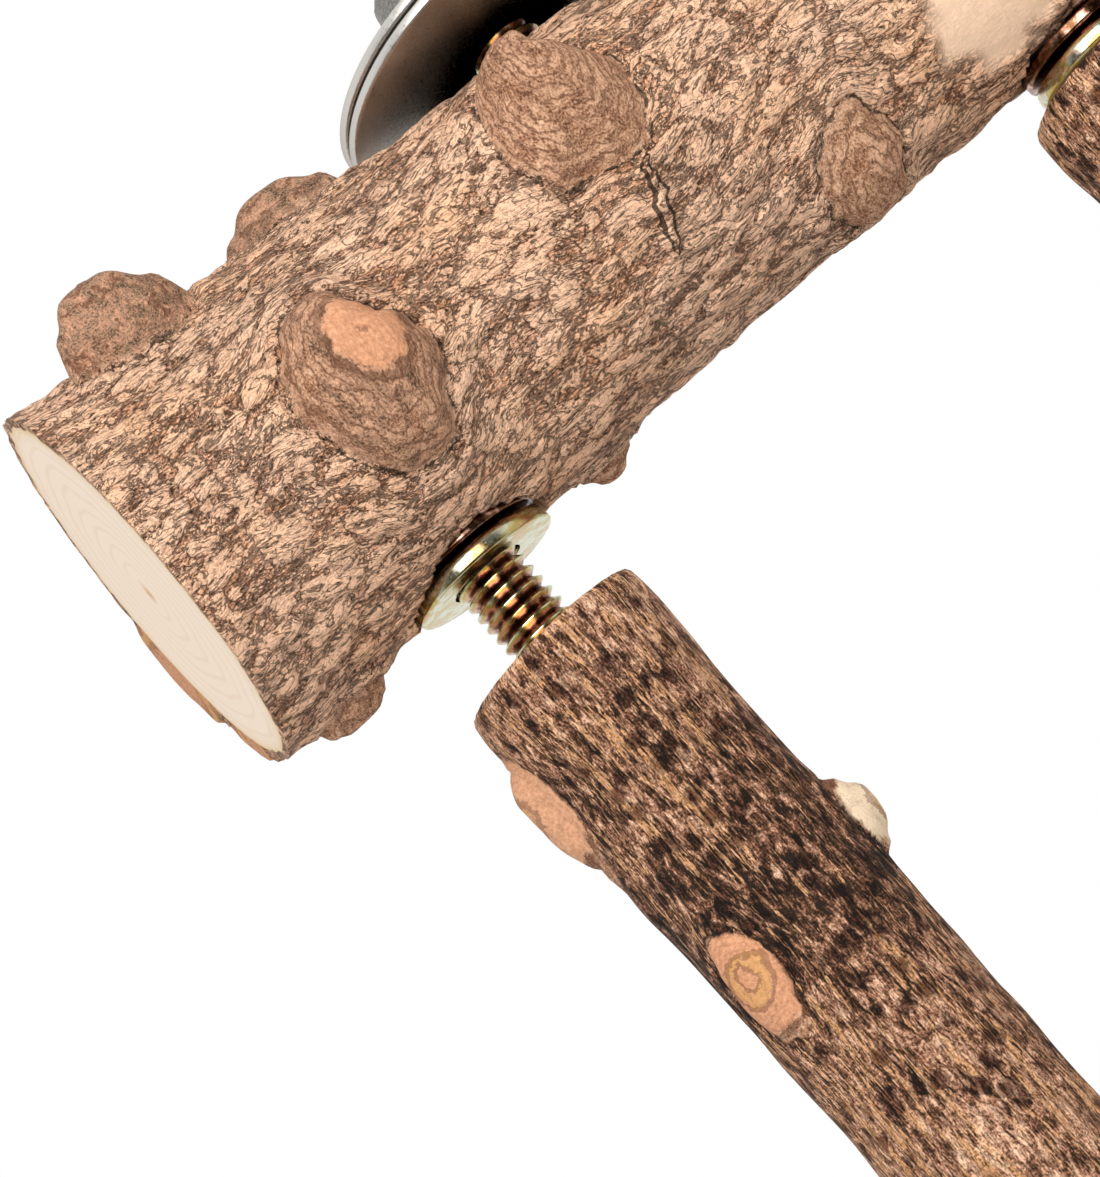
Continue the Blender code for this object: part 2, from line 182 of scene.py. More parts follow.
# Knots of each rung: along is from its trunk end, and angle runs from the rung's own X towards +Z
RUNG_KNOTS = (
    (
        Knob(
            0.0140, 97, 0.0200, 0.0110, 0.0024,
            lean=-0.2, tip=0.70, fresh=0.1, layers=5, grey=0.0, soft=1.0,
        ),
        Knob(
            0.0410, 51, 0.0120, 0.0080, 0.0010,
            lean=-0.2, boxiness=5.0, uneven=0.3, tip=0.95, layers=5, grey=0.0,
        ),
        Knob(0.0330, -90, 0.0100, 0.0090, 0.0034, tip=0.9, fresh=1.0, layers=2, grey=0.0),
    ),
    (
        Knob(0.0300, 200, 0.0100, 0.0080, 0.0020, tip=0.9, layers=3, grey=0.0),
        Knob(0.0620, 70, 0.0110, 0.0080, 0.0012, boxiness=4.0, tip=0.9, layers=3, grey=0.0),
        Knob(0.1040, -30, 0.0090, 0.0080, 0.0028, tip=0.7, fresh=0.8, layers=2, grey=0.1),
    ),
    (
        Knob(0.0210, 20, 0.0110, 0.0080, 0.0012, boxiness=4.0, tip=0.9, layers=3, grey=0.0),
        Knob(0.0700, -110, 0.0100, 0.0085, 0.0030, tip=0.7, fresh=0.8, layers=2, grey=0.1),
        Knob(0.1150, 110, 0.0100, 0.0080, 0.0018, tip=0.9, layers=3, grey=0.0),
    ),
    (
        Knob(0.0380, 130, 0.0100, 0.0080, 0.0026, tip=0.7, fresh=0.8, layers=2, grey=0.1),
        Knob(0.0820, -20, 0.0110, 0.0080, 0.0012, boxiness=4.0, tip=0.9, layers=3, grey=0.0),
        Knob(0.1220, 230, 0.0090, 0.0080, 0.0022, tip=0.9, layers=2, grey=0.0),
    ),
)

# Direction of each rung's bow, in degrees from the rung's own X towards +Z
RUNG_BOW_ANGLES = (35, 160, 300, 80)


def linear(code):
    """Linear RGBA of an sRGB hex colour such as #d2a98b."""
    shares = [int(code[start : start + 2], 16) / 255 for start in (1, 3, 5)]
    return (*(s / 12.92 if s <= 0.04045 else ((s + 0.055) / 1.055) ** 2.4 for s in shares), 1.0)


def length(name, description, default):
    """A size that the sidebar shows as a length."""
    return FloatProperty(name=name, description=description, default=default, precision=5, unit="LENGTH")


def angle(name, description, degrees):
    """An angle that the sidebar shows in degrees."""
    return FloatProperty(name=name, description=description, default=math.radians(degrees), subtype="ANGLE")


def factor(name, description, default):
    """A plain number."""
    return FloatProperty(name=name, description=description, default=default)


def colour(name, description, code):
    """A colour that is written as sRGB hex."""
    return FloatVectorProperty(
        name=name, description=description, default=linear(code), size=4, subtype="COLOR"
    )


class LadderTrunkSettings(bpy.types.PropertyGroup):
    """Sizes and colours of the trunk and its knobs."""

    top_radius: length("Top radius", "Radius of the upper sawn end", 0.0212)
    waist_radius: length("Waist radius", "Radius between the flared ends", 0.01775)
    bottom_radius: length("Bottom radius", "Radius of the lower sawn end", 0.0200)
    flare_length: length("Flare length", "How far each end's flare reaches", 0.100)
    lip_height: length("Lip height", "How far the bark stands out at the upper end", 0.0012)
    lip_length: length("Lip length", "How far down the lip reaches", 0.006)
    lip_azimuth: angle("Lip azimuth", "Side of the trunk that has the lip", 66)
    bend: length("Bend", "How far the waist is bent off the axis", 0.00085)
    bend_azimuth: angle("Bend azimuth", "Side that the waist is bent to", 66)
    plate_width: length("Plate width", "Width of the bark's plates, across the grain", 0.0031)
    plate_length: length("Plate length", "Length of the bark's plates, along the grain", 0.0080)
    plate_relief: length("Plate relief", "Height of the plates over the fissures", 0.00042)
    ridge_relief: length("Ridge relief", "Height of the ridges along the grain", 0.00030)
    lump_relief: length("Lump relief", "Height of the broad lumps", 0.00022)
    collar_relief: length("Collar relief", "Height of the swollen bark round a knob", 0.0007)
    crevice_depth: length("Crevice depth", "Depth of the crevice round a knob", 0.0009)
    # The crevice colour is also painted shade: in the crevices round the knobs and on the bark pushed under the
    # insert flanges
    crevice: colour("Crevice", "Deep cracks and crevices", "#20150e")
    fissure: colour("Fissure", "Bottom of the bark's fissures", "#4f4030")
    weathered: colour("Weathered", "Grey-brown bark between the plates", "#906e52")
    brown: colour("Brown", "Bark on the edges of the plates", "#b58563")
    tan: colour("Tan", "Bark of the plates", "#dea583")
    pale: colour("Pale", "Palest fibres of the plates", "#fbcba8")
    peeled: colour("Peeled", "Inner bark where the outer bark is shaved off", "#fad5b5")
    orange: colour("Orange", "Fresh bark and smooth knob tips", "#d99b74")
    knob_dark: colour("Knob dark", "Dark growth lines of a knob", "#6f452e")
    knob_mid: colour("Knob mid", "Bark of a knob", "#bd8866")
    knob_light: colour("Knob light", "Palest layers of a knob", "#f0c09c")
    knob_grey: colour("Knob grey", "Weathered side of a knob", "#a58369")
    wood: colour("Wood", "Sawn wood", "#fbe7d3")
    wood_ring: colour("Wood ring", "Growth rings of the sawn wood", "#ecd1b5")
    wood_rim: colour("Wood rim", "Sapwood under the bark", "#e6c796")
    pith: colour("Pith", "Heart of the sawn wood", "#d8a35c")


class LadderRungSettings(bpy.types.PropertyGroup):
    """Sizes and colours of the rungs."""

    radius: length("Radius", "Radius of a rung", 0.0107)
    root_flare: length("Root flare", "How much thicker a rung is near the trunk", 0.0005)
    root_length: length("Root length", "How far the root flare reaches", 0.010)
    straight: length("Straight", "Length of a rung that runs straight", 0.060)
    bow: length("Bow", "How far a rung's far end bows off its axis", 0.004)
    cut_slope: factor("Cut slope", "Slope of the saw cut at the trunk end, against square", 0.055)
    streak_width: length("Streak width", "Width of the tan streaks", 0.0010)
    streak_length: length("Streak length", "Length of the tan streaks", 0.0110)
    lenticel_spacing: length("Lenticel spacing", "Distance between the dark bark pores", 0.0023)
    dusk_place: length("Dusk place", "Middle of the darker stretch, from the trunk end", 0.034)
    dusk_length: length("Dusk length", "Length of the darker stretch", 0.034)
    ridge_relief: length("Ridge relief", "Height of the ridges along the grain", 0.00030)
    lump_relief: length("Lump relief", "Height of the broad lumps", 0.00030)
    dark: colour("Dark", "Darkest bark and pores", "#25170f")
    wart: colour("Wart", "Shade of the warty bark pores", "#8c7a73")
    brown: colour("Brown", "Bark of a rung", "#6c4930")
    rose: colour("Rose", "Lighter bark between the pores", "#b97f62")
    tan: colour("Tan", "Tan streaks", "#e2a46c")
    pale: colour("Pale", "Palest fibres", "#facaa6")


class LadderHardwareSettings(bpy.types.PropertyGroup):
    """Sizes and colours of the bolts, inserts, washers and wing nuts."""

    thread_radius: length("Thread radius", "Outer radius of the threads", 0.00395)
    thread_pitch: length("Thread pitch", "Distance between the thread's crests", 0.001411)
    thread_depth: length("Thread depth", "Depth of the thread", 0.00080)
    crest_share: factor("Crest share", "Flat crest as a share of the pitch", 0.09)
    hole_radius: length("Hole radius", "Radius of the holes that the threads pass through", 0.00425)
    edge_rounding: length("Edge rounding", "Rounding of the plated edges", 0.00030)
    washer_rounding: length("Washer rounding", "Large rounding of a rung washer, towards the trunk", 0.0012)
    fender_rounding: length("Fender rounding", "Tumbled rounding of the clamp washers", 0.00030)
    wing_thickness: length("Wing thickness", "Thickness of a wing nut's ear", 0.0032)
    # The zinc colours also carry the painted shade, highlights and reflections that the film attribute gives
    # the threads and washers
    maroon: colour("Maroon", "Film in the hollows", "#4a261c")
    gold: colour("Gold", "Yellow passivation", "#b8a052")
    pale: colour("Pale", "Thin passivation that shows the zinc", "#cbd1b6")
    rose: colour("Rose", "Rose tint of the passivation", "#d2a494")
    bronze: colour("Bronze", "Thick brown passivation", "#6e4c32")
    steel: colour("Steel", "Bright rims of the tumbled steel", "#d2cec8")
    # Dark steel: a painted dark reflection on the clamp washers' faces, and the dark grain of the cast wing
    # nuts
    steel_dark: colour("Steel dark", "Oily film on the steel", "#1f1a17")
    cast: colour("Cast", "Cast steel", "#97948f")


class LadderStageSettings(bpy.types.PropertyGroup):
    """Camera, lights and floor."""

    azimuth: angle("Azimuth", "Camera's place round the ladder, from -Y towards +X", 66.01)
    elevation: angle("Elevation", "Camera's height above the horizon", 10.48)
    roll: angle("Roll", "Camera's turn about its own view", -129.77)
    distance: length("Distance", "From the camera to its target", 0.8)
    target: FloatVectorProperty(
        name="Target",
        description="Point at the picture's centre",
        default=(-0.01024, -0.04617, 0.0341),
        subtype="TRANSLATION",
        unit="LENGTH",
    )
    frame_height: length("Frame height", "Height of the picture at the target", 0.11829)
    ambient: factor("Ambient", "Strength of the even light from all round", 0.72)
    room: factor("Room", "Brightness of the room behind the camera, in reflections", 0.08)
    key: factor("Key", "Power of the large light beside the camera, in watts", 7.0)
    rim: factor("Rim", "Power of the light over the ladder, in watts", 3.5)
    floor_drop: length("Floor drop", "Distance from the trunk's lower end to the floor", 0.001)
    floor_radius: length("Floor radius", "Radius where the floor has faded out", 0.45)
    floor: colour("Floor", "Pale floor", "#ececea")


def smooth(value, low, high):
    """A smooth step from 0 at low to 1 at high."""
    share = min(1.0, max(0.0, (value - low) / (high - low)))
    return share * share * (3 - 2 * share)


def bell(value, centre, width):
    """A bump of height 1 round the centre."""
    return math.exp(-(((value - centre) / width) ** 2))


def station(joint_name):
    """A joint's own frame: Z along its axis and Y up."""
    joint = JOINTS[joint_name]
    out = Vector(joint["axis"]).normalized()
    axes = Matrix((UP.cross(out), UP, out)).transposed().to_4x4()
    return Matrix.Translation(joint["pos_m"]) @ axes


def span(node, matrix):
    """How near and how far a CAD node reaches along a station's Z."""
    back = matrix.inverted()
    heights = [(back @ vertex.co).z for vertex in frame["nodes"][node].data.vertices]
    return min(heights), max(heights)


def reach(node, matrix):
    """How far a CAD node reaches from a station's Z axis."""
    back = matrix.inverted()
    return max((back @ vertex.co).xy.length for vertex in frame["nodes"][node].data.vertices)


def spin_outline(bm, outline, steps, closed=False):
    """Spins (radius, height) points about Z into a surface."""
    corners = [bm.verts.new((radius, 0, height)) for radius, height in outline]
    pairs = list(zip(corners, corners[1:]))
    if closed:
        pairs.append((corners[-1], corners[0]))
    edges = [bm.edges.new(pair) for pair in pairs]
    bmesh.ops.spin(
        bm, geom=corners + edges, cent=(0, 0, 0), axis=(0, 0, 1), angle=math.tau, steps=steps, use_merge=True
    )
    bmesh.ops.remove_doubles(bm, verts=bm.verts, dist=MERGE_DISTANCE)


def rounded(corner, before, after, radius, steps=4):
    """The points that round a corner of an outline with this radius."""
    corner, before, after = Vector(corner), Vector(before), Vector(after)
    start = (before - corner).normalized() * radius
    end = (after - corner).normalized() * radius
    centre = corner + start + end
    points = []
    for step in range(steps + 1):
        turn = step / steps * math.pi / 2
        points.append(tuple(centre - end * math.cos(turn) - start * math.sin(turn)))
    return points


def make_piece(bm, name, matrix, body, slot, materials, replaced, sharp=False):
    """Turns a bmesh into a piece of the ladder that rides on a body."""
    bmesh.ops.transform(bm, verts=bm.verts, matrix=matrix)
    bmesh.ops.recalc_face_normals(bm, faces=bm.faces)
    mesh = bpy.data.meshes.new(name)
    bm.to_mesh(mesh)
    bm.free()
    mesh.shade_smooth()
    if sharp:
        mesh.set_sharp_from_angle(angle=SHARP_ANGLE)
    for material in materials:
        mesh.materials.append(material)
    piece = bpy.data.objects.new(name, mesh)
    bpy.context.scene.collection.objects.link(piece)
    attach(piece, body)
    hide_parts(*replaced)


def fill(node, inputs):
    """Sets a node's inputs, each to a value or to another node's output."""
    for key, value in inputs.items():
        if isinstance(value, bpy.types.NodeSocket):
            node.id_data.links.new(value, node.inputs[key])
        else:
            node.inputs[key].default_value = value


def add_node(tree, kind, inputs=None, take=0, stops=(), **settings):
    """Adds a shader node with its settings, links and colour stops, and gives one of its outputs."""
    node = tree.nodes.new("ShaderNode" + kind)
    for key, value in settings.items():
        setattr(node, key, value)
    fill(node, inputs or {})
    for index, (position, stop_colour) in enumerate(stops):
        if index < 2:
            node.color_ramp.elements[index].position = position
        else:
            node.color_ramp.elements.new(position)
        node.color_ramp.elements[index].color = stop_colour
    return node.outputs[take]


def new_material(name):
    """A material, the way to add nodes to it, and its shader."""
    material = bpy.data.materials.new(name)
    material.use_nodes = True
    tree = material.node_tree
    return material, partial(add_node, tree), tree.nodes["Principled BSDF"]


def grain_noises(add, grain, specks):
    """Noises that are drawn out along the grain, one for each kind of speck."""
    noises = []
    for speck in specks:
        scale = (1 / speck.width, 1 / speck.width, 1 / speck.length)
        inputs = {
            "Vector": add("Mapping", {"Vector": grain, "Scale": scale}),
            "Scale": 1,
            "Detail": speck.detail,
            "Roughness": speck.roughness,
            "Distortion": speck.distortion,
        }
        noises.append(add("TexNoise", inputs))
    return noises


def bark_material(trunk):
    """Air-dried branch bark: pale fibrous plates, dark cracks and grey-brown fissures, matt and gritty, with
    painted shade on the bark pushed under the insert flanges.
    """
    material, add, shader = new_material("air-dried branch bark")
    grain = add("Attribute", take="Vector", attribute_name="grain")
    names = ("plate", "tone", "shaved", "split", "pocket")
    plate, tone, shaved, split, pocket = (add("Attribute", take="Fac", attribute_name=name) for name in names)

    # Fibres of 0.3 by 0.9 mm, crumbs of 0.9 by 1.8 mm, cracks 1.3 by 3.6 mm apart, hairs 0.7 by 1.4 mm apart
    # and fissures 2.6 by 15 mm apart, all along the grain, with grit of 0.3 mm and tints over 11 mm
    specks = (
        Speck(0.00030, 0.0009, 3, 0.6, 1.6),
        Speck(0.0009, 0.0018, 4, 0.62, 0.6),
        Speck(0.0013, 0.0036, 5, 0.6, 1.2),
        Speck(0.0007, 0.0014, 5, 0.65, 1.8),
        Speck(0.0026, 0.015, 5, 0.6, 0.4),
    )
    fibre, crumb, crack_field, hair_field, fissure_field = grain_noises(add, grain, specks)
    grit = add("TexNoise", {"Vector": grain, "Scale": 1 / 0.00030, "Detail": 3, "Roughness": 0.7})
    broad = add("TexNoise", {"Vector": grain, "Scale": 1 / 0.011, "Detail": 2})
    crack = add("Math", {0: crack_field, 1: 0.5, 2: 0.026}, operation="COMPARE")
    hair = add("Math", {0: hair_field, 1: 0.48, 2: 0.018}, operation="COMPARE")
    fissure_offset = add("Math", {0: fissure_field, 1: 0.5}, operation="SUBTRACT")
    fissure_distance = add("Math", {0: fissure_offset}, operation="ABSOLUTE")
    fissure = add("MapRange", {"Value": fissure_distance, "From Min": 0.01, "From Max": 0.07, **FALLING})

    # Ragged plates, with dark edges
    ragged = add("Math", {0: crumb, 1: 1.7, 2: plate}, operation="MULTIPLY_ADD")
    plate_mask = add("MapRange", {"Value": ragged, "From Min": 0.98, "From Max": 1.22})
    edge = add("Math", {0: ragged, 1: 0.94, 2: 0.08}, operation="COMPARE")
    cracks = add("Math", {0: edge, 1: crack}, operation="MAXIMUM")
    lines = add("Math", {0: hair, 1: 0.75, 2: cracks}, operation="MULTIPLY_ADD")

    # Height and lightness from the plates, the crumbs, the fibres and the grit
    relief = add("Math", {0: tone, 1: 0.25}, operation="MULTIPLY")
    for part, weight in ((plate_mask, 0.50), (crumb, 1.3), (fibre, 0.7), (fissure, -0.40)):
        relief = add("Math", {0: part, 1: weight, 2: relief}, operation="MULTIPLY_ADD")
    lowered = add("Math", {0: lines, 1: -0.35, 2: relief}, operation="MULTIPLY_ADD")
    kept = add("MapRange", {"Value": shaved, "To Min": 1.0, "To Max": 0.1})
    height = add("Math", {0: lowered, 1: kept}, operation="MULTIPLY")
    gritty = add("Math", {0: grit, 1: 3.0, 2: relief}, operation="MULTIPLY_ADD")
    level = add("MapRange", {"Value": gritty, "From Min": 1.53, "From Max": 2.63})
    shades = (trunk.fissure, trunk.weathered, trunk.brown, trunk.tan, trunk.pale)
    bark = add("ValToRGB", {"Fac": level}, stops=zip((0.0, 0.22, 0.42, 0.68, 1.0), shades))

    # Warm tints, dark lines, shaved patches, the split, and painted shade on the bark pushed into the pockets
    # under the insert flanges
    warmth = add("MapRange", {"Value": broad, "From Min": 0.42, "From Max": 0.70, "To Max": 0.35})
    warm = add("Mix", {0: warmth, 6: bark, 7: trunk.orange}, **COLOURS, blend_type="SOFT_LIGHT")
    line_share = add("Math", {0: lines, 1: 0.72}, operation="MULTIPLY")
    cracked = add("Mix", {0: line_share, 6: warm, 7: trunk.crevice}, **COLOURS)
    shaved_share = add("Math", {0: shaved, 1: 0.9}, operation="MULTIPLY")
    peeled = add("Mix", {0: shaved_share, 6: cracked, 7: trunk.peeled}, **COLOURS)
    split_edge = add("Math", {0: crumb, 1: 0.9, 2: split}, operation="MULTIPLY_ADD")
    split_line = add("Math", {0: split_edge, 1: 1.30, 2: 0.30}, operation="COMPARE")
    split_share = add("Math", {0: split_line, 1: 0.85}, operation="MULTIPLY")
    split_line_and_pocket_shade = add("Math", {0: split_share, 1: pocket}, operation="MAXIMUM")
    darkened = add("Mix", {0: split_line_and_pocket_shade, 6: peeled, 7: trunk.crevice}, **COLOURS)
    finished, stub_height = add_stubs(add, trunk, grain, darkened, height)
    bump = add("Bump", {"Height": stub_height, "Strength": 1.0, "Distance": 0.00025})
    fill(shader, {"Base Color": finished, "Normal": bump, "Roughness": 0.85, "Specular IOR Level": 0.25})
    return material


def add_stubs(add, trunk, grain, bark, bark_height):
    """Healed branch stubs over the bark: layered, weathered, each with a smooth tip and a crevice painted black
    as shade.
    """
    names = ("rise", "layer", "tip", "fresh", "grey")
    rise, layer, tip_rise, fresh, grey = (add("Attribute", take="Fac", attribute_name=name) for name in names)

    # Lines waver over 3.5 mm, patches are 1.6 mm, grit is 0.22 mm and the tip's speckle is 0.35 mm
    waver = add("TexNoise", {"Vector": grain, "Scale": 1 / 0.0035, "Detail": 5, "Roughness": 0.65})
    patch_size = {"Scale": 1 / 0.0016, "Detail": 4, "Roughness": 0.62, "Distortion": 0.5}
    patch = add("TexNoise", {"Vector": grain, **patch_size})
    grit = add("TexNoise", {"Vector": grain, "Scale": 1 / 0.00022, "Detail": 3, "Roughness": 0.65})
    speckle = add("TexNoise", {"Vector": grain, "Scale": 1 / 0.00035, "Detail": 2, "Roughness": 0.6})

    # Growth lines that come and go over layered and weathered bark
    wavered = add("Math", {0: waver, 1: 4.0, 2: layer}, operation="MULTIPLY_ADD")
    fold = add("Math", {0: wavered, 1: 0.5}, operation="PINGPONG")
    thin = add("MapRange", {"Value": fold, "From Max": 0.22, "To Min": 0.9, "To Max": 0.0})
    shown = add("MapRange", {"Value": patch, "From Min": 0.36, "From Max": 0.54})
    line = add("Math", {0: thin, 1: shown}, operation="MULTIPLY")
    patched = add("Math", {0: patch, 1: 1.2}, operation="MULTIPLY")
    gritty = add("Math", {0: grit, 1: 1.4, 2: patched}, operation="MULTIPLY_ADD")
    level = add("MapRange", {"Value": gritty, "From Min": 0.98, "From Max": 1.58})
    bright = (trunk.knob_dark, trunk.knob_mid, trunk.knob_light)
    dull = (trunk.fissure, trunk.knob_grey, trunk.tan)
    layered, weathered = (
        add("ValToRGB", {"Fac": level}, stops=zip((0.05, 0.40, 0.85), shades)) for shades in (bright, dull)
    )
    sided = add("Mix", {0: grey, 6: layered, 7: weathered}, **COLOURS)
    lined = add("Mix", {0: line, 6: sided, 7: trunk.knob_dark}, **COLOURS)

    # A smooth tip, orange or freshly cut, with a rim, rings and a golden band
    tip_level = add("Math", {0: speckle, 1: 1.1, 2: -0.05}, operation="MULTIPLY_ADD")
    tip_shades = (trunk.knob_dark, trunk.knob_mid, trunk.orange, trunk.knob_light)
    orange = add("ValToRGB", {"Fac": tip_level}, stops=zip((0.0, 0.30, 0.55, 1.0), tip_shades))
    cream = add("Mix", {0: speckle, 6: trunk.wood_rim, 7: trunk.wood}, **COLOURS)
    tip_colour = add("Mix", {0: fresh, 6: orange, 7: cream}, **COLOURS)
    tip_edge = add("Math", {0: patch, 1: 0.35, 2: tip_rise}, operation="MULTIPLY_ADD")
    tip = add("MapRange", {"Value": tip_edge, "From Min": 0.16, "From Max": 0.22})
    heart_edge = add("Math", {0: waver, 1: 0.8, 2: tip_edge}, operation="MULTIPLY_ADD")
    rim_ring = add("Math", {0: tip_edge, 1: 0.10, 2: 0.06}, operation="COMPARE")
    inner_ring = add("Math", {0: tip_edge, 1: 0.66, 2: 0.05}, operation="COMPARE")
    heart_ring = add("Math", {0: heart_edge, 1: 1.30, 2: 0.04}, operation="COMPARE")
    rings = add("Math", {0: rim_ring, 1: inner_ring}, operation="MAXIMUM")
    ring = add("Math", {0: rings, 1: heart_ring}, operation="MAXIMUM")
    gold_band = add("Math", {0: heart_edge, 1: 1.18, 2: 0.10}, operation="COMPARE")
    gold_share = add("Math", {0: gold_band, 1: 0.5}, operation="MULTIPLY")
    gilded = add("Mix", {0: gold_share, 6: tip_colour, 7: trunk.pith}, **COLOURS)
    faint = add("Math", {0: line, 1: 0.28}, operation="MULTIPLY")
    tip_lined = add("Mix", {0: faint, 6: gilded, 7: trunk.knob_dark}, **COLOURS)
    tipped = add("Mix", {0: tip, 6: lined, 7: tip_lined}, **COLOURS)
    ring_share = add("Math", {0: ring, 1: 0.5}, operation="MULTIPLY")
    ringed = add("Mix", {0: ring_share, 6: tipped, 7: trunk.knob_dark}, **COLOURS)

    # The stub's ragged edge, and the crevice along it, painted dark as shade
    edge = add("Math", {0: waver, 1: 0.30, 2: rise}, operation="MULTIPLY_ADD")
    ragged = add("Math", {0: grit, 1: 0.06, 2: edge}, operation="MULTIPLY_ADD")
    mask = add("MapRange", {"Value": ragged, "From Min": 0.16, "From Max": 0.24})
    joined = add("Mix", {0: mask, 6: bark, 7: ringed}, **COLOURS)
    crevice_width = add("MapRange", {"Value": patch, "From Min": 0.45, "From Max": 0.70, "To Max": 0.05})
    crevice = add("Math", {0: ragged, 1: 0.16, 2: crevice_width}, operation="COMPARE")
    crevice_shade_share = add("Math", {0: crevice, 1: 0.75}, operation="MULTIPLY")
    crevice_shaded = add("Mix", {0: crevice_shade_share, 6: joined, 7: trunk.crevice}, **COLOURS)
    rough = add("MapRange", {"Value": tip, "To Min": 0.9, "To Max": 0.25})
    stub_height = add("Math", {0: level, 1: rough}, operation="MULTIPLY")
    return crevice_shaded, add("Mix", {0: mask, 2: bark_height, 3: stub_height})


def wood_material(trunk):
    """Sawn end grain: cream wood with faint rings, yellower under the bark, and a small orange pith."""
    material, add, shader = new_material("sawn end grain")
    grain = add("Attribute", take="Vector", attribute_name="grain")
    rim = add("Attribute", take="Fac", attribute_name="rim")
    across = add("VectorMath", {0: grain, 1: (1, 1, 0)}, operation="MULTIPLY")
    distance = add("VectorMath", {0: across}, "Value", operation="LENGTH")

    # Rings 2.4 mm apart that waver over 9 mm, and saw fuzz of 0.25 mm
    waver = add("TexNoise", {"Vector": across, "Scale": 1 / 0.009, "Detail": 1})
    turns = add("Math", {0: distance, 1: math.tau / 0.0024}, operation="MULTIPLY")
    phase = add("Math", {0: waver, 1: 9.0, 2: turns}, operation="MULTIPLY_ADD")
    wave = add("Math", {0: phase}, operation="SINE")
    ring = add("MapRange", {"Value": wave, "From Min": 0.5, "From Max": 1.0, "To Max": 0.42})
    fuzz = add("TexNoise", {"Vector": grain, "Scale": 1 / 0.00025, "Detail": 3})
    fuzz_share = add("MapRange", {"Value": fuzz, "From Min": 0.5, "From Max": 0.8, "To Max": 0.3})

    # A pith of 0.8 mm that fades out by 2.8 mm across
    heart_fade = {"From Min": 0.0004, "From Max": 0.0014, "To Min": 0.8, "To Max": 0.0}
    heart = add("MapRange", {"Value": distance, **heart_fade})
    finished = add("Mix", {0: ring, 6: trunk.wood, 7: trunk.wood_ring}, **COLOURS)
    for share, over in ((rim, trunk.wood_rim), (heart, trunk.pith), (fuzz_share, trunk.wood_rim)):
        finished = add("Mix", {0: share, 6: finished, 7: over}, **COLOURS)
    bump = add("Bump", {"Height": fuzz, "Strength": 0.3, "Distance": 0.0002})
    fill(shader, {"Base Color": finished, "Normal": bump, "Roughness": 0.75, "Specular IOR Level": 0.3})
    return material


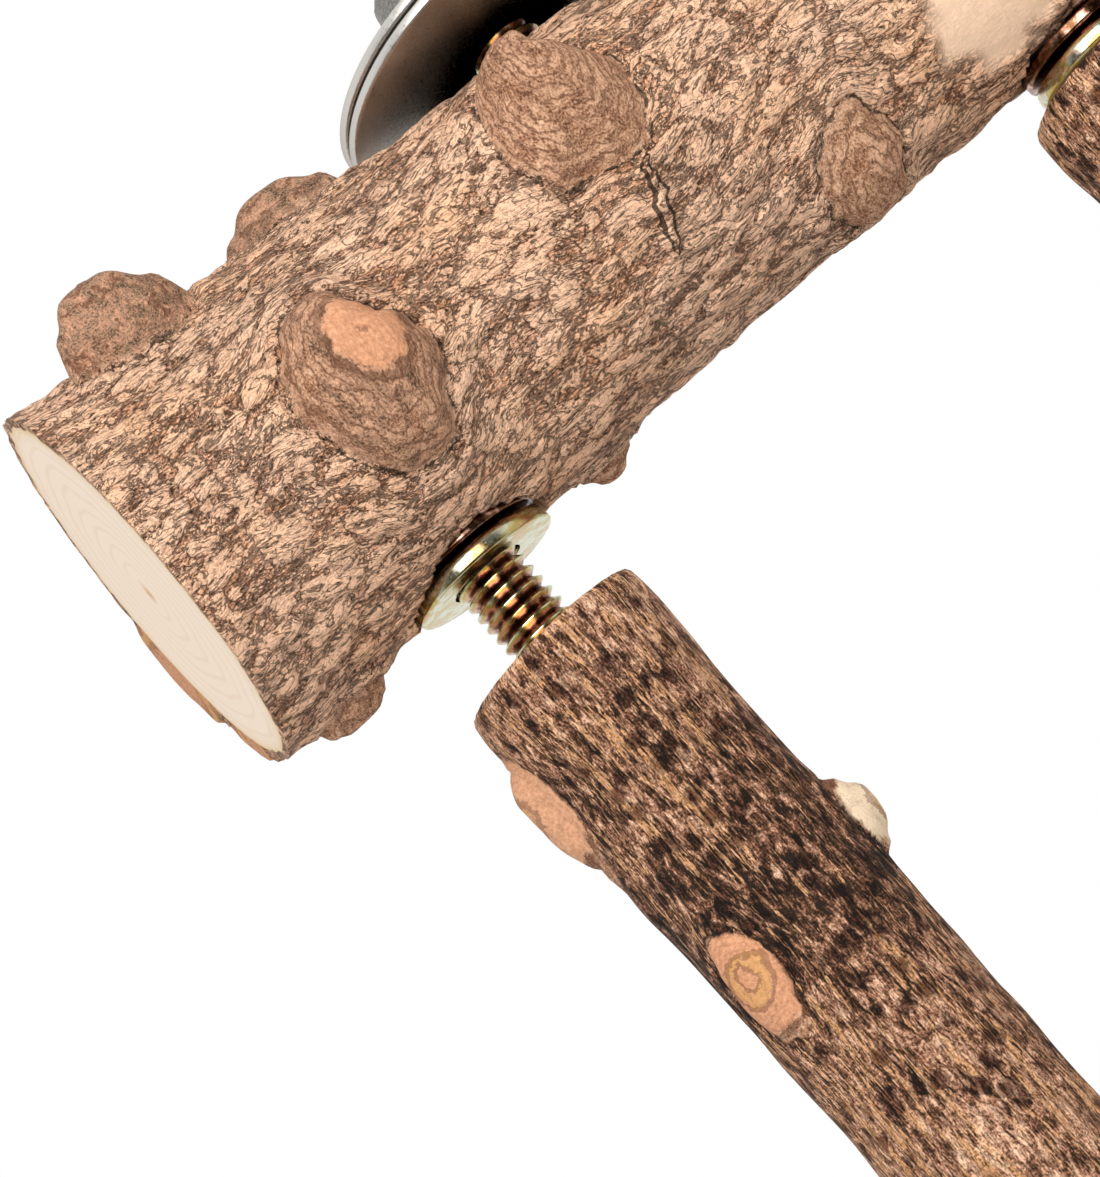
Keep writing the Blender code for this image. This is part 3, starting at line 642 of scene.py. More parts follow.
def rung_material(rung, trunk):
    """Thin branch bark: dark, porous and flecked with rose, with long tan streaks where it has split."""
    material, add, shader = new_material("thin porous branch bark")
    grain = add("Attribute", take="Vector", attribute_name="grain")
    dusk = add("Attribute", take="Fac", attribute_name="dusk")

    # Streaks, flecks of 0.9 by 2.1 mm, fibres of 0.2 by 1.3 mm, patches of 4 by 8 mm and hairs 0.7 by 1.8 mm
    # apart, all along the grain, and grit of 0.25 mm
    specks = (
        Speck(rung.streak_width, rung.streak_length, 4, 0.6, 0.8),
        Speck(0.0009, 0.0021, 3, 0.6, 0.8),
        Speck(0.0002, 0.0013, 2, 0.6, 0.5),
        Speck(0.004, 0.008, 3, 0.5, 0.0),
        Speck(0.0007, 0.0018, 4, 0.6, 1.5),
    )
    streak, fleck, fibre, patch, hair_field = grain_noises(add, grain, specks)
    grit = add("TexNoise", {"Vector": grain, "Scale": 1 / 0.00025, "Detail": 3, "Roughness": 0.65})
    hair = add("Math", {0: hair_field, 1: 0.48, 2: 0.025}, operation="COMPARE")

    # Round pores in clusters, each with a rough rim
    spacing = {"Vector": grain, "Scale": 1 / rung.lenticel_spacing}
    pores = add("TexVoronoi", spacing, feature="F1").node.outputs
    pore_edge = add("Math", {0: fleck, 1: 0.6, 2: pores["Distance"]}, operation="MULTIPLY_ADD")
    pore_disc = add("MapRange", {"Value": pore_edge, "From Min": 0.64, "From Max": 0.77, **FALLING})
    pore_patch = add("Math", {0: patch, 1: -1.6, 2: pores["Color"]}, operation="MULTIPLY_ADD")
    pore_draw = add("Math", {0: dusk, 1: 0.3, 2: pore_patch}, operation="MULTIPLY_ADD")
    pore_chosen = add("MapRange", {"Value": pore_draw, "From Min": -0.30, "From Max": -0.12})
    pore = add("Math", {0: pore_disc, 1: pore_chosen}, operation="MULTIPLY")
    pore_rim = add("Math", {0: pore_edge, 1: 0.78, 2: 0.05}, operation="COMPARE")
    pore_ring = add("Math", {0: pore_rim, 1: pore_chosen}, operation="MULTIPLY")

    # Lightness from the grit, the fibres, the flecks and the patches
    fibred = add("Math", {0: fibre, 1: 1.3}, operation="MULTIPLY")
    fine = add("Math", {0: grit, 1: 1.5, 2: fibred}, operation="MULTIPLY_ADD")
    dimmed = fine
    for part, weight in ((fleck, 2.3), (patch, 0.8), (dusk, -0.25)):
        dimmed = add("Math", {0: part, 1: weight, 2: dimmed}, operation="MULTIPLY_ADD")
    level = add("MapRange", {"Value": dimmed, "From Min": 2.45, "From Max": 3.35})
    bark = add(
        "ValToRGB", {"Fac": level},
        stops=((0.0, rung.dark), (0.32, rung.brown), (0.58, rung.rose), (0.90, rung.pale)),
    )

    # Golden streaks with dark edges
    streak_field = add("Math", {0: dusk, 1: -0.06, 2: streak}, operation="MULTIPLY_ADD")
    streak_edge = add("Math", {0: fibre, 1: 0.35, 2: streak_field}, operation="MULTIPLY_ADD")
    streak_mask = add("MapRange", {"Value": streak_edge, "From Min": 0.712, "From Max": 0.746})
    streak_line = add("Math", {0: streak_edge, 1: 0.694, 2: 0.018}, operation="COMPARE")
    streak_level = add("MapRange", {"Value": fine, "From Min": 1.05, "From Max": 1.75})
    streak_colour = add(
        "ValToRGB", {"Fac": streak_level}, stops=((0.0, rung.brown), (0.45, rung.tan), (1.0, rung.pale))
    )
    line_share = add("Math", {0: streak_line, 1: 0.7}, operation="MULTIPLY")
    lined = add("Mix", {0: line_share, 6: bark, 7: rung.dark}, **COLOURS)
    streaked = add("Mix", {0: streak_mask, 6: lined, 7: streak_colour}, **COLOURS)

    # Pores that shade the bark, with hairs and pore rims drawn dark
    pore_share = add("Math", {0: pore, 1: 0.95}, operation="MULTIPLY")
    warted = add("Mix", {0: pore_share, 6: streaked, 7: rung.wart}, **COLOURS, blend_type="MULTIPLY")
    pore_lines = add("Math", {0: hair, 1: pore_ring}, operation="MAXIMUM")
    dark_share = add("Math", {0: pore_lines, 1: 0.50}, operation="MULTIPLY")
    pored = add("Mix", {0: dark_share, 6: warted, 7: rung.dark}, **COLOURS)
    raised = add("Math", {0: pore, 1: 1.6, 2: level}, operation="MULTIPLY_ADD")
    finished, height = add_stubs(add, trunk, grain, pored, raised)
    bump = add("Bump", {"Height": height, "Strength": 1.0, "Distance": 0.00025})
    fill(shader, {"Base Color": finished, "Normal": bump, "Roughness": 0.8, "Specular IOR Level": 0.25})
    return material


def zinc_material(hardware):
    """Yellow passivated zinc: its film runs from maroon in hollows through rose and gold to pale, and its film
    attribute also paints shade and highlights on the threads and reflections on the washers.
    """
    material, add, shader = new_material("yellow passivated zinc")
    place = add("TexCoord", take="Object")
    film = add("Attribute", take="Fac", attribute_name="film")

    # The film changes over 1.8 mm, with fine spots of 0.3 mm
    cloud = add("TexNoise", {"Vector": place, "Scale": 1 / 0.0018, "Detail": 3, "Distortion": 0.6})
    spots = add("TexNoise", {"Vector": place, "Scale": 1 / 0.0003, "Detail": 2})
    clouded = add("Math", {0: cloud, 1: 1.0, 2: film}, operation="MULTIPLY_ADD")
    spotted = add("Math", {0: spots, 1: 0.20, 2: clouded}, operation="MULTIPLY_ADD")
    thickness = add("MapRange", {"Value": spotted, "From Min": 0.60, "From Max": 1.60})
    tints = (hardware.maroon, hardware.bronze, hardware.rose, hardware.gold, hardware.pale, hardware.rose)
    tint = add("ValToRGB", {"Fac": thickness}, stops=zip((0.05, 0.25, 0.42, 0.56, 0.74, 0.95), tints))
    shine = {"From Min": 0.3, "From Max": 0.7, "To Min": 0.12, "To Max": 0.26}
    roughness = add("MapRange", {"Value": spots, **shine})
    fill(shader, {"Base Color": tint, "Roughness": roughness, "Metallic": 1.0})
    return material


def steel_material(hardware):
    """Tumbled steel: faces painted near-black as a dark reflection, and bright worn rims with small dents."""
    material, add, shader = new_material("tumbled steel")
    place = add("TexCoord", take="Object")
    worn = add("Attribute", take="Fac", attribute_name="film")

    # Scuffs of 0.4 mm, and a dull patchiness that changes over 7 mm
    scuff = add("TexNoise", {"Vector": place, "Scale": 1 / 0.0004, "Detail": 4, "Roughness": 0.7})
    dull = add("TexNoise", {"Vector": place, "Scale": 1 / 0.007, "Detail": 3})
    scuffed = add("Math", {0: scuff, 1: 0.7, 2: worn}, operation="MULTIPLY_ADD")
    mixed = add("Math", {0: dull, 1: 0.3, 2: scuffed}, operation="MULTIPLY_ADD")
    level = add("MapRange", {"Value": mixed, "From Min": 0.55, "From Max": 1.55})
    # The faces take the dark steel, a painted dark reflection, and the worn rims the bright steel
    tint = add("ValToRGB", {"Fac": level}, stops=((0.15, hardware.steel_dark), (0.85, hardware.steel)))
    shine = {"From Min": 0.3, "From Max": 0.7, "To Min": 0.24, "To Max": 0.42}
    roughness = add("MapRange", {"Value": scuff, **shine})
    bump = add("Bump", {"Height": scuff, "Strength": 0.25, "Distance": 0.0001})
    fill(shader, {"Base Color": tint, "Specular Tint": tint, "Roughness": roughness, "Normal": bump})
    fill(shader, {"Metallic": 1.0})
    return material


def cast_material(hardware):
    """Plain cast steel: grey, with the grain of the mould."""
    material, add, shader = new_material("plain cast steel")
    place = add("TexCoord", take="Object")

    # The mould's grain is 0.35 mm
    grain = add("TexNoise", {"Vector": place, "Scale": 1 / 0.00035, "Detail": 3, "Roughness": 0.6})
    tint = add("ValToRGB", {"Fac": grain}, stops=((0.1, hardware.steel_dark), (0.6, hardware.cast)))
    bump = add("Bump", {"Height": grain, "Strength": 0.5, "Distance": 0.0003})
    fill(shader, {"Base Color": tint, "Normal": bump, "Metallic": 1.0, "Roughness": 0.45})
    return material


def shared_material(name, make, *settings):
    """The material of this name, made once."""
    return bpy.data.materials.get(name) or make(*settings)


def trunk_radius(trunk, from_top, azimuth):
    """Radius of the trunk: a slightly bent waist that flares to both sawn ends, with a lip at the top."""
    top_flare = max(0, 1 - from_top / trunk.flare_length) ** 2
    bottom_flare = max(0, 1 - (TRUNK_LENGTH - from_top) / trunk.flare_length) ** 2
    radius = trunk.waist_radius
    radius += (trunk.top_radius - trunk.waist_radius) * top_flare
    radius += (trunk.bottom_radius - trunk.waist_radius) * bottom_flare
    radius += trunk.bend * (1 - top_flare - bottom_flare) * math.cos(azimuth - trunk.bend_azimuth)
    facing = max(0, math.cos(azimuth - trunk.lip_azimuth)) ** 8
    return radius + trunk.lip_height * facing * max(0, 1 - from_top / trunk.lip_length)


def drift(point):
    """A smooth vector that wanders from point to point."""
    return Vector([noise.noise(point + shift) for shift in DRIFT_SHIFTS])


def bark_plates(trunk, point):
    """Height of the bark's plates at a point, from 0 in a fissure to 1 on a plate, and the plate's tone."""
    # The plates' edges wander by 2 mm over 5 mm, and by 0.5 mm over 1.4 mm
    drifted = point + drift(point / 0.005) * 0.0020 + drift(point / 0.0014) * 0.0005
    width, extent = trunk.plate_width, trunk.plate_length
    cell = Vector((drifted.x / width, drifted.y / width, drifted.z / extent))
    distances, centres = noise.voronoi(cell)
    tone = 0.5 + 0.5 * noise.cell(centres[0] * 17)
    plate = smooth(distances[1] - distances[0], 0.02, 0.40) * (0.55 + 0.45 * smooth(tone, 0.1, 0.4))
    return plate, tone


def wrapped(turn):
    """An angle from -180 to 180 degrees, in radians."""
    return (turn + math.pi) % math.tau - math.pi


def knob_rise(knob, along, arc):
    """1 at a knob's apex, 0 at its edge and less outside, on a leaning cone with an uneven edge."""
    x = along / (knob.length / 2)
    y = arc / (knob.width / 2)
    heading = Vector((x, y, 0)).normalized()
    ring = heading * 0.9 + Vector((0, 0, 300 * knob.along))
    outline = 1 + knob.uneven * (noise.noise(ring) + 0.5 * noise.noise(ring * 2.7))
    x, y = x / outline, y / outline
    square = knob.lean**2 + knob.drift**2 - 1
    slope = 2 * (1 - x * knob.lean - y * knob.drift)
    offset = x * x + y * y - 1
    return (math.sqrt(max(0, slope * slope - 4 * square * offset)) - slope) / (2 * square)


def knob_marks(knobs, collar, crevice, along, turn, radius):
    """What the knobs do to the bark at a place on a branch."""
    height, flow = 0.0, turn
    nearest, nearest_rise, nearest_rough, apex_distance = None, -1.0, 0.0, 9.0
    for knob in knobs:
        offset = along - knob.along
        if abs(offset) > KNOB_REACH * knob.length:
            continue
        swing = wrapped(turn - math.radians(knob.angle))
        rise = knob_rise(knob, offset, swing * radius)
        if rise < LOWEST_RISE:
            continue
        place = Vector((offset, swing * radius, knob.along * 9)) / KNOB_LUMP
        rough = noise.noise(place) + 0.5 * noise.noise(place * 2.3)
        flow -= swing * GRAIN_TURN * bell(rise, 0.5, 0.9)
        height += collar * bell(rise, -0.12, 0.30)
        crease = crevice * (1 - knob.soft) * (0.6 + 0.7 * noise.noise(place * 0.8))
        height -= crease * bell(rise, -0.02, 0.07)
        if rise > 0:
            turns = math.tau * knob.layers
            stepped = rise + 0.6 * math.sin(turns * (rise + 0.05 * rough)) / turns * smooth(rise, 0, 0.2)
            dome = 1 - (1 - min(1, stepped)) ** knob.boxiness
            height += knob.height * (dome + knob.soft * (smooth(rise, 0, 0.8) - dome))
            groove = TIP_GROOVE * bell(rise, 1 - knob.tip, 0.05)
            height += (0.05 * knob.height * rough - groove) * smooth(rise, 0, 0.3)
        if rise > nearest_rise:
            nearest, nearest_rise, nearest_rough = knob, rise, rough
            half = knob.length / 2
            sideways = swing * radius - knob.drift * knob.width / 2
            apex_distance = math.hypot(offset / half - knob.lean, sideways / half)
    if nearest is None:
        return Marks(height, flow)
    tip = nearest.tip - apex_distance if nearest.tip else -1.0
    grey = nearest.grey * smooth(0.7 * nearest_rough + nearest.grey, 0.1, 0.7)
    return Marks(height, flow, nearest_rise, nearest.layers * nearest_rise, tip, nearest.fresh, grey)


class LADDER_OT_trunk(bpy.types.Operator):
    """Make the trunk's knobby bark and its sawn ends"""

    bl_idname = "ladder.trunk"
    bl_label = "Trunk"

    # Sawn-end rings as shares of the radius, with the bark outside the wood
    rings = (0.35, 0.65, 0.85, 0.925, 0.955, 0.98)
    wood_share = 0.956
    # A long split in the bark, as (from the top, azimuth in degrees) of its ends
    split = ((0.0634, -16), (0.0597, -51))
    split_width = 0.0016
    # How far its line wavers and its middle rises, how broad that rise is, and how far it is looked for
    split_waver, split_lift, lift_width, split_reach = 0.0009, 0.0009, 0.0008, 0.006
    # How far it fades out past its ends, as a share of its length
    split_fade = 0.15
    # A shaved patch: from the top, azimuth in degrees, length and width
    shaved = (0.1015, -52, 0.013, 0.014)
    # Room between a clamp washer that is pushed home and the bark
    pad_gap = 0.0001
    # Width and length of the ridges along the grain, and size of the lumps
    ridge_width, ridge_length, lump_size = 0.0016, 0.009, 0.011

    def execute(self, context):
        trunk = context.scene.ladder_trunk
        rows = [0.0]
        while rows[-1] < TRUNK_LENGTH - UNSEEN_STEP:
            rows.append(rows[-1] + (SEEN_STEP if rows[-1] < SEEN_LENGTH else UNSEEN_STEP))
        rows[-1] = TRUNK_LENGTH
        outline = [(0, 0)] + [(share, 0) for share in self.rings]
        outline += [(1, -row) for row in rows]
        outline += [(share, -TRUNK_LENGTH) for share in reversed(self.rings)] + [(0, -TRUNK_LENGTH)]
        bm = bmesh.new()
        spin_outline(bm, outline, TRUNK_SEGMENTS)
        self.sort_faces(bm)
        self.shape_bark(bm, trunk)
        materials = (
            shared_material("air-dried branch bark", bark_material, trunk),
            shared_material("sawn end grain", wood_material, trunk),
        )
        make_piece(bm, "trunk_bark", TRUNK_PLACE, "trunk", "trunk_bark", materials, ["trunk"])
        return {"FINISHED"}

    def sort_faces(self, bm):
        """Gives the sawn ends the wood's material and a sharp edge."""
        bm.normal_update()
        for face in bm.faces:
            flat = abs(face.normal.z) > 0.9
            face.material_index = int(flat and face.calc_center_median().xy.length < self.wood_share)
        for edge in bm.edges:
            edge.smooth = edge.calc_face_angle(0) < SAWN_ANGLE

    def shape_bark(self, bm, trunk):
        """Moves each point of the unit lathe to its place in the bark, and keeps what the materials read."""
        grain = bm.verts.layers.float_vector.new("grain")
        names = ("plate", "tone", "shaved", "split", "pocket", "rim", "rise", "layer", "tip", "fresh", "grey")
        layers = {name: bm.verts.layers.float.new(name) for name in names}
        pockets = [self.pocket(number) for number in RUNG_NUMBERS]
        pads = [self.pad(side) for side in CLAMP_SIDES]
        for vertex in bm.verts:
            share = min(1.0, vertex.co.xy.length)
            azimuth = math.atan2(vertex.co.y, vertex.co.x)
            from_top = -vertex.co.z
            radius = trunk_radius(trunk, from_top, azimuth)
            marks = knob_marks(
                TRUNK_KNOBS, trunk.collar_relief, trunk.crevice_depth, from_top, azimuth, radius
            )
            if share > BARK_SHARE:
                radius += marks.height
            point = Vector((math.cos(marks.flow) * radius, math.sin(marks.flow) * radius, -from_top))
            plate, tone = bark_plates(trunk, point)
            split, split_rise = self.split_marks(from_top, azimuth, radius)
            shaved = self.shaved_share(from_top, azimuth, radius, point)
            width = self.ridge_width
            ridge = noise.noise(Vector((point.x / width, point.y / width, point.z / self.ridge_length)))
            lump = noise.noise(point / self.lump_size)
            bark = trunk.plate_relief * plate + trunk.ridge_relief * ridge
            bark *= 1 - 0.7 * smooth(marks.rise, 0, 0.1)
            out = radius + bark * (1 - shaved) + trunk.lump_relief * lump + split_rise
            vertex.co.xy = math.cos(azimuth) * out * share, math.sin(azimuth) * out * share
            vertex[grain] = point if share > BARK_SHARE else vertex.co
            values = marks._asdict()
            values.update(plate=plate, tone=tone, shaved=shaved, split=split)
            values["rim"] = smooth(share, SAPWOOD_START, SAPWOOD_END)
            # The pocket mark also tells the bark material where to paint shade under an insert's flange
            values["pocket"] = self.sink_pockets(vertex, pockets)
            self.sink_pockets(vertex, pads)
            for name, layer in layers.items():
                vertex[layer] = values[name]

    def split_marks(self, from_top, azimuth, radius):
        """Where a point lies in the long split, with 1 along its edges, and how far its middle is raised."""
        (start, start_angle), (end, end_angle) = self.split
        first = Vector((start, math.radians(start_angle) * radius))
        run = Vector((end, math.radians(end_angle) * radius)) - first
        offset = Vector((from_top, azimuth * radius)) - first
        share = offset.dot(run) / run.length_squared
        waver = self.split_waver * noise.noise(Vector((9 * share, 0, 0)))
        side = abs((offset.x * run.y - offset.y * run.x) / run.length + waver)
        fade = self.split_fade
        if not -fade < share < 1 + fade or side > self.split_reach:
            return 9.0, 0.0
        half = self.split_width / 2 * max(0.08, math.sin(math.pi * min(1, max(0, share)))) ** 0.7
        ends = smooth(share, -fade, 0.1) * smooth(1 + fade - share, 0.0, 0.25)
        return side / half + 6 * (1 - ends), self.split_lift * bell(side, 0.0, self.lift_width) * ends

    def shaved_share(self, from_top, azimuth, radius, point):
        """How much the bark is shaved off at a point."""
        middle, middle_angle, size, width = self.shaved
        arc = wrapped(azimuth - math.radians(middle_angle)) * radius
        distance = math.hypot((from_top - middle) / (size / 2), arc / (width / 2))
        ragged = 0.35 * noise.noise(point / 0.003)
        return smooth(1.25 - distance + ragged, 0.0, 0.4)

    def pocket(self, number):
        """The way from the trunk's frame into a rung's station, with its pocket's (radius, depth) steps."""
        matrix = station(f"rung_{number}_turn")
        insert = f"insert_nut_{number}"
        insert_back, flange_front = span(insert, matrix)
        washer_back = span(f"rung_washer_{number}", matrix)[0]
        gap = washer_back - flange_front
        flange_radius = reach(insert, matrix)
        bolt_home = span(f"rung_bolt_{number}", matrix)[0] + JOINTS[f"rung_{number}_travel"]["range_m"][0]
        steps = (
            (0.70 * flange_radius, min(insert_back, bolt_home) - 2 * gap),
            (flange_radius + gap, flange_front - FLANGE_THICKNESS - gap),
        )
        return matrix.inverted() @ TRUNK_PLACE, steps

    def pad(self, side):
        """The way into a clamp's station, with the pad that its inner washer flattens when pushed home."""
        matrix = station(f"{side}_wing_nut_turn")
        node = f"{side}_inner_clamp_washer"
        home = span(node, matrix)[0] + JOINTS[f"{side}_inner_washer_slide"]["range_m"][0]
        steps = ((reach(node, matrix) + 2 * UNSEEN_STEP, home - self.pad_gap),)
        return matrix.inverted() @ TRUNK_PLACE, steps

    def sink_pockets(self, vertex, pockets):
        """Sinks the bark that lies within a pocket or a pad, and says if it did."""
        for inward, steps in pockets:
            local = inward @ vertex.co
            for radius, depth in steps:
                if local.xy.length < radius and local.z > depth:
                    local.z = depth
                    vertex.co = inward.inverted() @ local
                    return 1.0
        return 0.0


def rung_point(rung, index, rung_length, height, heading, radius):
    """A point of a rung in its own frame, with the bow towards its far end."""
    bow = rung.bow * max(0, (height - rung.straight) / (rung_length - rung.straight)) ** 2
    bow_angle = math.radians(RUNG_BOW_ANGLES[index])
    return Vector(
        (
            bow * math.cos(bow_angle) + radius * math.cos(heading),
            bow * math.sin(bow_angle) + radius * math.sin(heading),
            height,
        )
    )


def rung_radius(rung, height):
    """Radius of a rung, a little thicker near the trunk."""
    return rung.radius + rung.root_flare * bell(height, 0.004, rung.root_length * 0.6)


class LADDER_OT_rungs(bpy.types.Operator):
    """Make the rungs, which are branches with cut knots"""

    bl_idname = "ladder.rungs"
    bl_label = "Rungs"

    rings = (0.6, 0.85, 0.95)
    wood_share = 0.951
    bore_depth = 0.0015
    # Swelling and crevice round a knot
    collar_relief, crevice_depth = 0.0003, 0.0003
    # Width and length of the ridges along the grain, and sizes of the small and broad lumps
    ridge_width, ridge_length = 0.0014, 0.009
    small_lump, broad_lump = 0.006, 0.025
    # How far the bark is worn at the sawn edges, and how far along
    edge_wear, edge_length = 0.0003, 0.0006
    # How far the slope of the saw cut carries along a rung
    cut_length = 0.015
    # How far apart the rungs lie in the grain's pattern
    grain_shift = 0.31

    def execute(self, context):
        rung = context.scene.ladder_rung
        trunk = context.scene.ladder_trunk
        hardware = context.scene.ladder_hardware
        bark = shared_material("thin porous branch bark", rung_material, rung, trunk)
        wood = shared_material("sawn end grain", wood_material, trunk)
        for index, number in enumerate(RUNG_NUMBERS):
            matrix = station(f"rung_{number}_turn")
            end, far_end = span(f"rung_{number}", matrix)
            bm = self.lathe(rung, hardware, far_end - end)
            self.shape_bark(bm, rung, index, far_end - end)
            place = matrix @ Matrix.Translation((0, 0, end))
            node = f"rung_{number}"
            make_piece(bm, f"rung_bark_{number}", place, node, "rung_bark", (bark, wood), [node])
        return {"FINISHED"}

    def lathe(self, rung, hardware, rung_length):
        """A unit lathe along local Z, with a bored end towards the trunk."""
        bore = hardware.hole_radius / rung.radius
        rows = round(rung_length / RUNG_STEP)
        outline = [(0, self.bore_depth), (bore, self.bore_depth), (bore, 0)]
        outline += [(share, 0) for share in self.rings]
        outline += [(1, rung_length * row / rows) for row in range(rows + 1)]
        outline += [(share, rung_length) for share in reversed(self.rings)] + [(0, rung_length)]
        bm = bmesh.new()
        spin_outline(bm, outline, RUNG_SEGMENTS)
        for face in bm.faces:
            face.material_index = int(face.calc_center_median().xy.length < self.wood_share)
        for edge in bm.edges:
            edge.smooth = edge.calc_face_angle(0) < SAWN_ANGLE
        return bm

    def shape_bark(self, bm, rung, index, rung_length):
        """Moves each point of the unit lathe to its place in the bark, and keeps what the materials read."""
        grain = bm.verts.layers.float_vector.new("grain")
        names = ("rim", "dusk", "rise", "layer", "tip", "fresh", "grey")
        layers = {name: bm.verts.layers.float.new(name) for name in names}
        shift = Vector((0, 0, self.grain_shift * index))
        for vertex in bm.verts:
            share = min(1.0, vertex.co.xy.length)
            heading = math.atan2(vertex.co.y, vertex.co.x)
            height = vertex.co.z
            radius = rung_radius(rung, height)
            marks = knob_marks(
                RUNG_KNOTS[index], self.collar_relief, self.crevice_depth, height, heading, radius
            )
            radius += marks.height
            point = Vector((math.cos(marks.flow) * radius, math.sin(marks.flow) * radius, height)) + shift
            width = self.ridge_width
            ridge = noise.noise(Vector((point.x / width, point.y / width, point.z / self.ridge_length)))
            lump = noise.noise(point / self.small_lump) * 0.6 + noise.noise(point / self.broad_lump)
            ridge_height = rung.ridge_relief * ridge * (1 - 0.8 * smooth(marks.rise, 0, 0.1))
            radius += ridge_height + rung.lump_relief * lump
            edge_distance = min(height, rung_length - height)
            radius -= self.edge_wear * (1 - smooth(edge_distance, 0, self.edge_length))
            vertex[grain] = point if share > BARK_SHARE else Vector((*vertex.co.xy * radius, height))
            values = marks._asdict()
            values["rim"] = smooth(share, SAPWOOD_START, SAPWOOD_END)
            values["dusk"] = bell(height, rung.dusk_place, rung.dusk_length / 2)
            for name, layer in layers.items():
                vertex[layer] = values[name]
            cut = rung.cut_slope * (radius * share * math.sin(heading) + rung.radius / 2)
            cut *= 1 - smooth(height, 0, self.cut_length)
            vertex.co = rung_point(rung, index, rung_length, height, heading, radius * share) + UP * cut


def add_thread(bm, hardware, start, end):
    """A right-hand threaded stud along local Z from start to end, with closed ends."""
    pitch = hardware.thread_pitch
    crest = hardware.crest_share * pitch / 2
    root = hardware.thread_radius - hardware.thread_depth
    # The valley's fillet, and how far it runs up each flank as a share of the pitch
    fillet, run = root + 0.0001, 0.08
    turns = math.ceil((end - start) / pitch) + 2
    outline = ((root, 0), (fillet, run * pitch), (hardware.thread_radius, pitch / 2 - crest))
    outline += ((hardware.thread_radius, pitch / 2 + crest), (fillet, (1 - run) * pitch), (root, pitch))
    corners = [bm.verts.new((radius, 0, start - pitch + height)) for radius, height in outline]
    edges = [bm.edges.new(pair) for pair in zip(corners, corners[1:])]
    bmesh.ops.spin(
        bm, geom=corners + edges, cent=(0, 0, 0), axis=(0, 0, 1), angle=math.tau * turns,
        steps=THREAD_STEPS * turns, dvec=(0, 0, pitch / THREAD_STEPS),
    )
    bmesh.ops.remove_doubles(bm, verts=bm.verts, dist=THREAD_MERGE_DISTANCE)
    for height, normal in ((start, (0, 0, -1)), (end, (0, 0, 1))):
        geom = bm.verts[:] + bm.edges[:] + bm.faces[:]
        cut = bmesh.ops.bisect_plane(
            bm, geom=geom, plane_co=(0, 0, height), plane_no=normal, clear_outer=True
        )
        rim = [item for item in cut["geom_cut"] if isinstance(item, bmesh.types.BMEdge)]
        bmesh.ops.edgeloop_fill(bm, edges=rim)
    for vertex in bm.verts:
        chamfer = root + min(vertex.co.z - start, end - vertex.co.z)
        if vertex.co.xy.length > chamfer:
            vertex.co.xy *= chamfer / vertex.co.xy.length


def spread_film(bm, thin_at):
    """Writes how thin the plated film is at each point, from its distance to the axis and its height; on the
    threads and rung washers it also paints shade, highlights and reflections.
    """
    film = bm.verts.layers.float.new("film")
    for vertex in bm.verts:
        vertex[film] = thin_at(vertex.co.xy.length, vertex.co.z)


def thread_film_shade_and_highlight(hardware):
    """The film of a thread: thick and dark in the valleys, thin and bright on the crests, so that the valleys
    hold painted shade and the crests painted highlights.
    """
    root = hardware.thread_radius - hardware.thread_depth
    return lambda radius, height: 0.20 + 0.48 * smooth(radius, root, hardware.thread_radius)


def ring_outline(inner, outer, low, high, low_rounding, high_rounding):
    """A closed outline of a flat ring, with its outer corners rounded."""
    return (
        [(inner, high)]
        + rounded((outer, high), (inner, high), (outer, low), high_rounding)
        + rounded((outer, low), (outer, high), (inner, low), low_rounding)
        + [(inner, low)]
    )


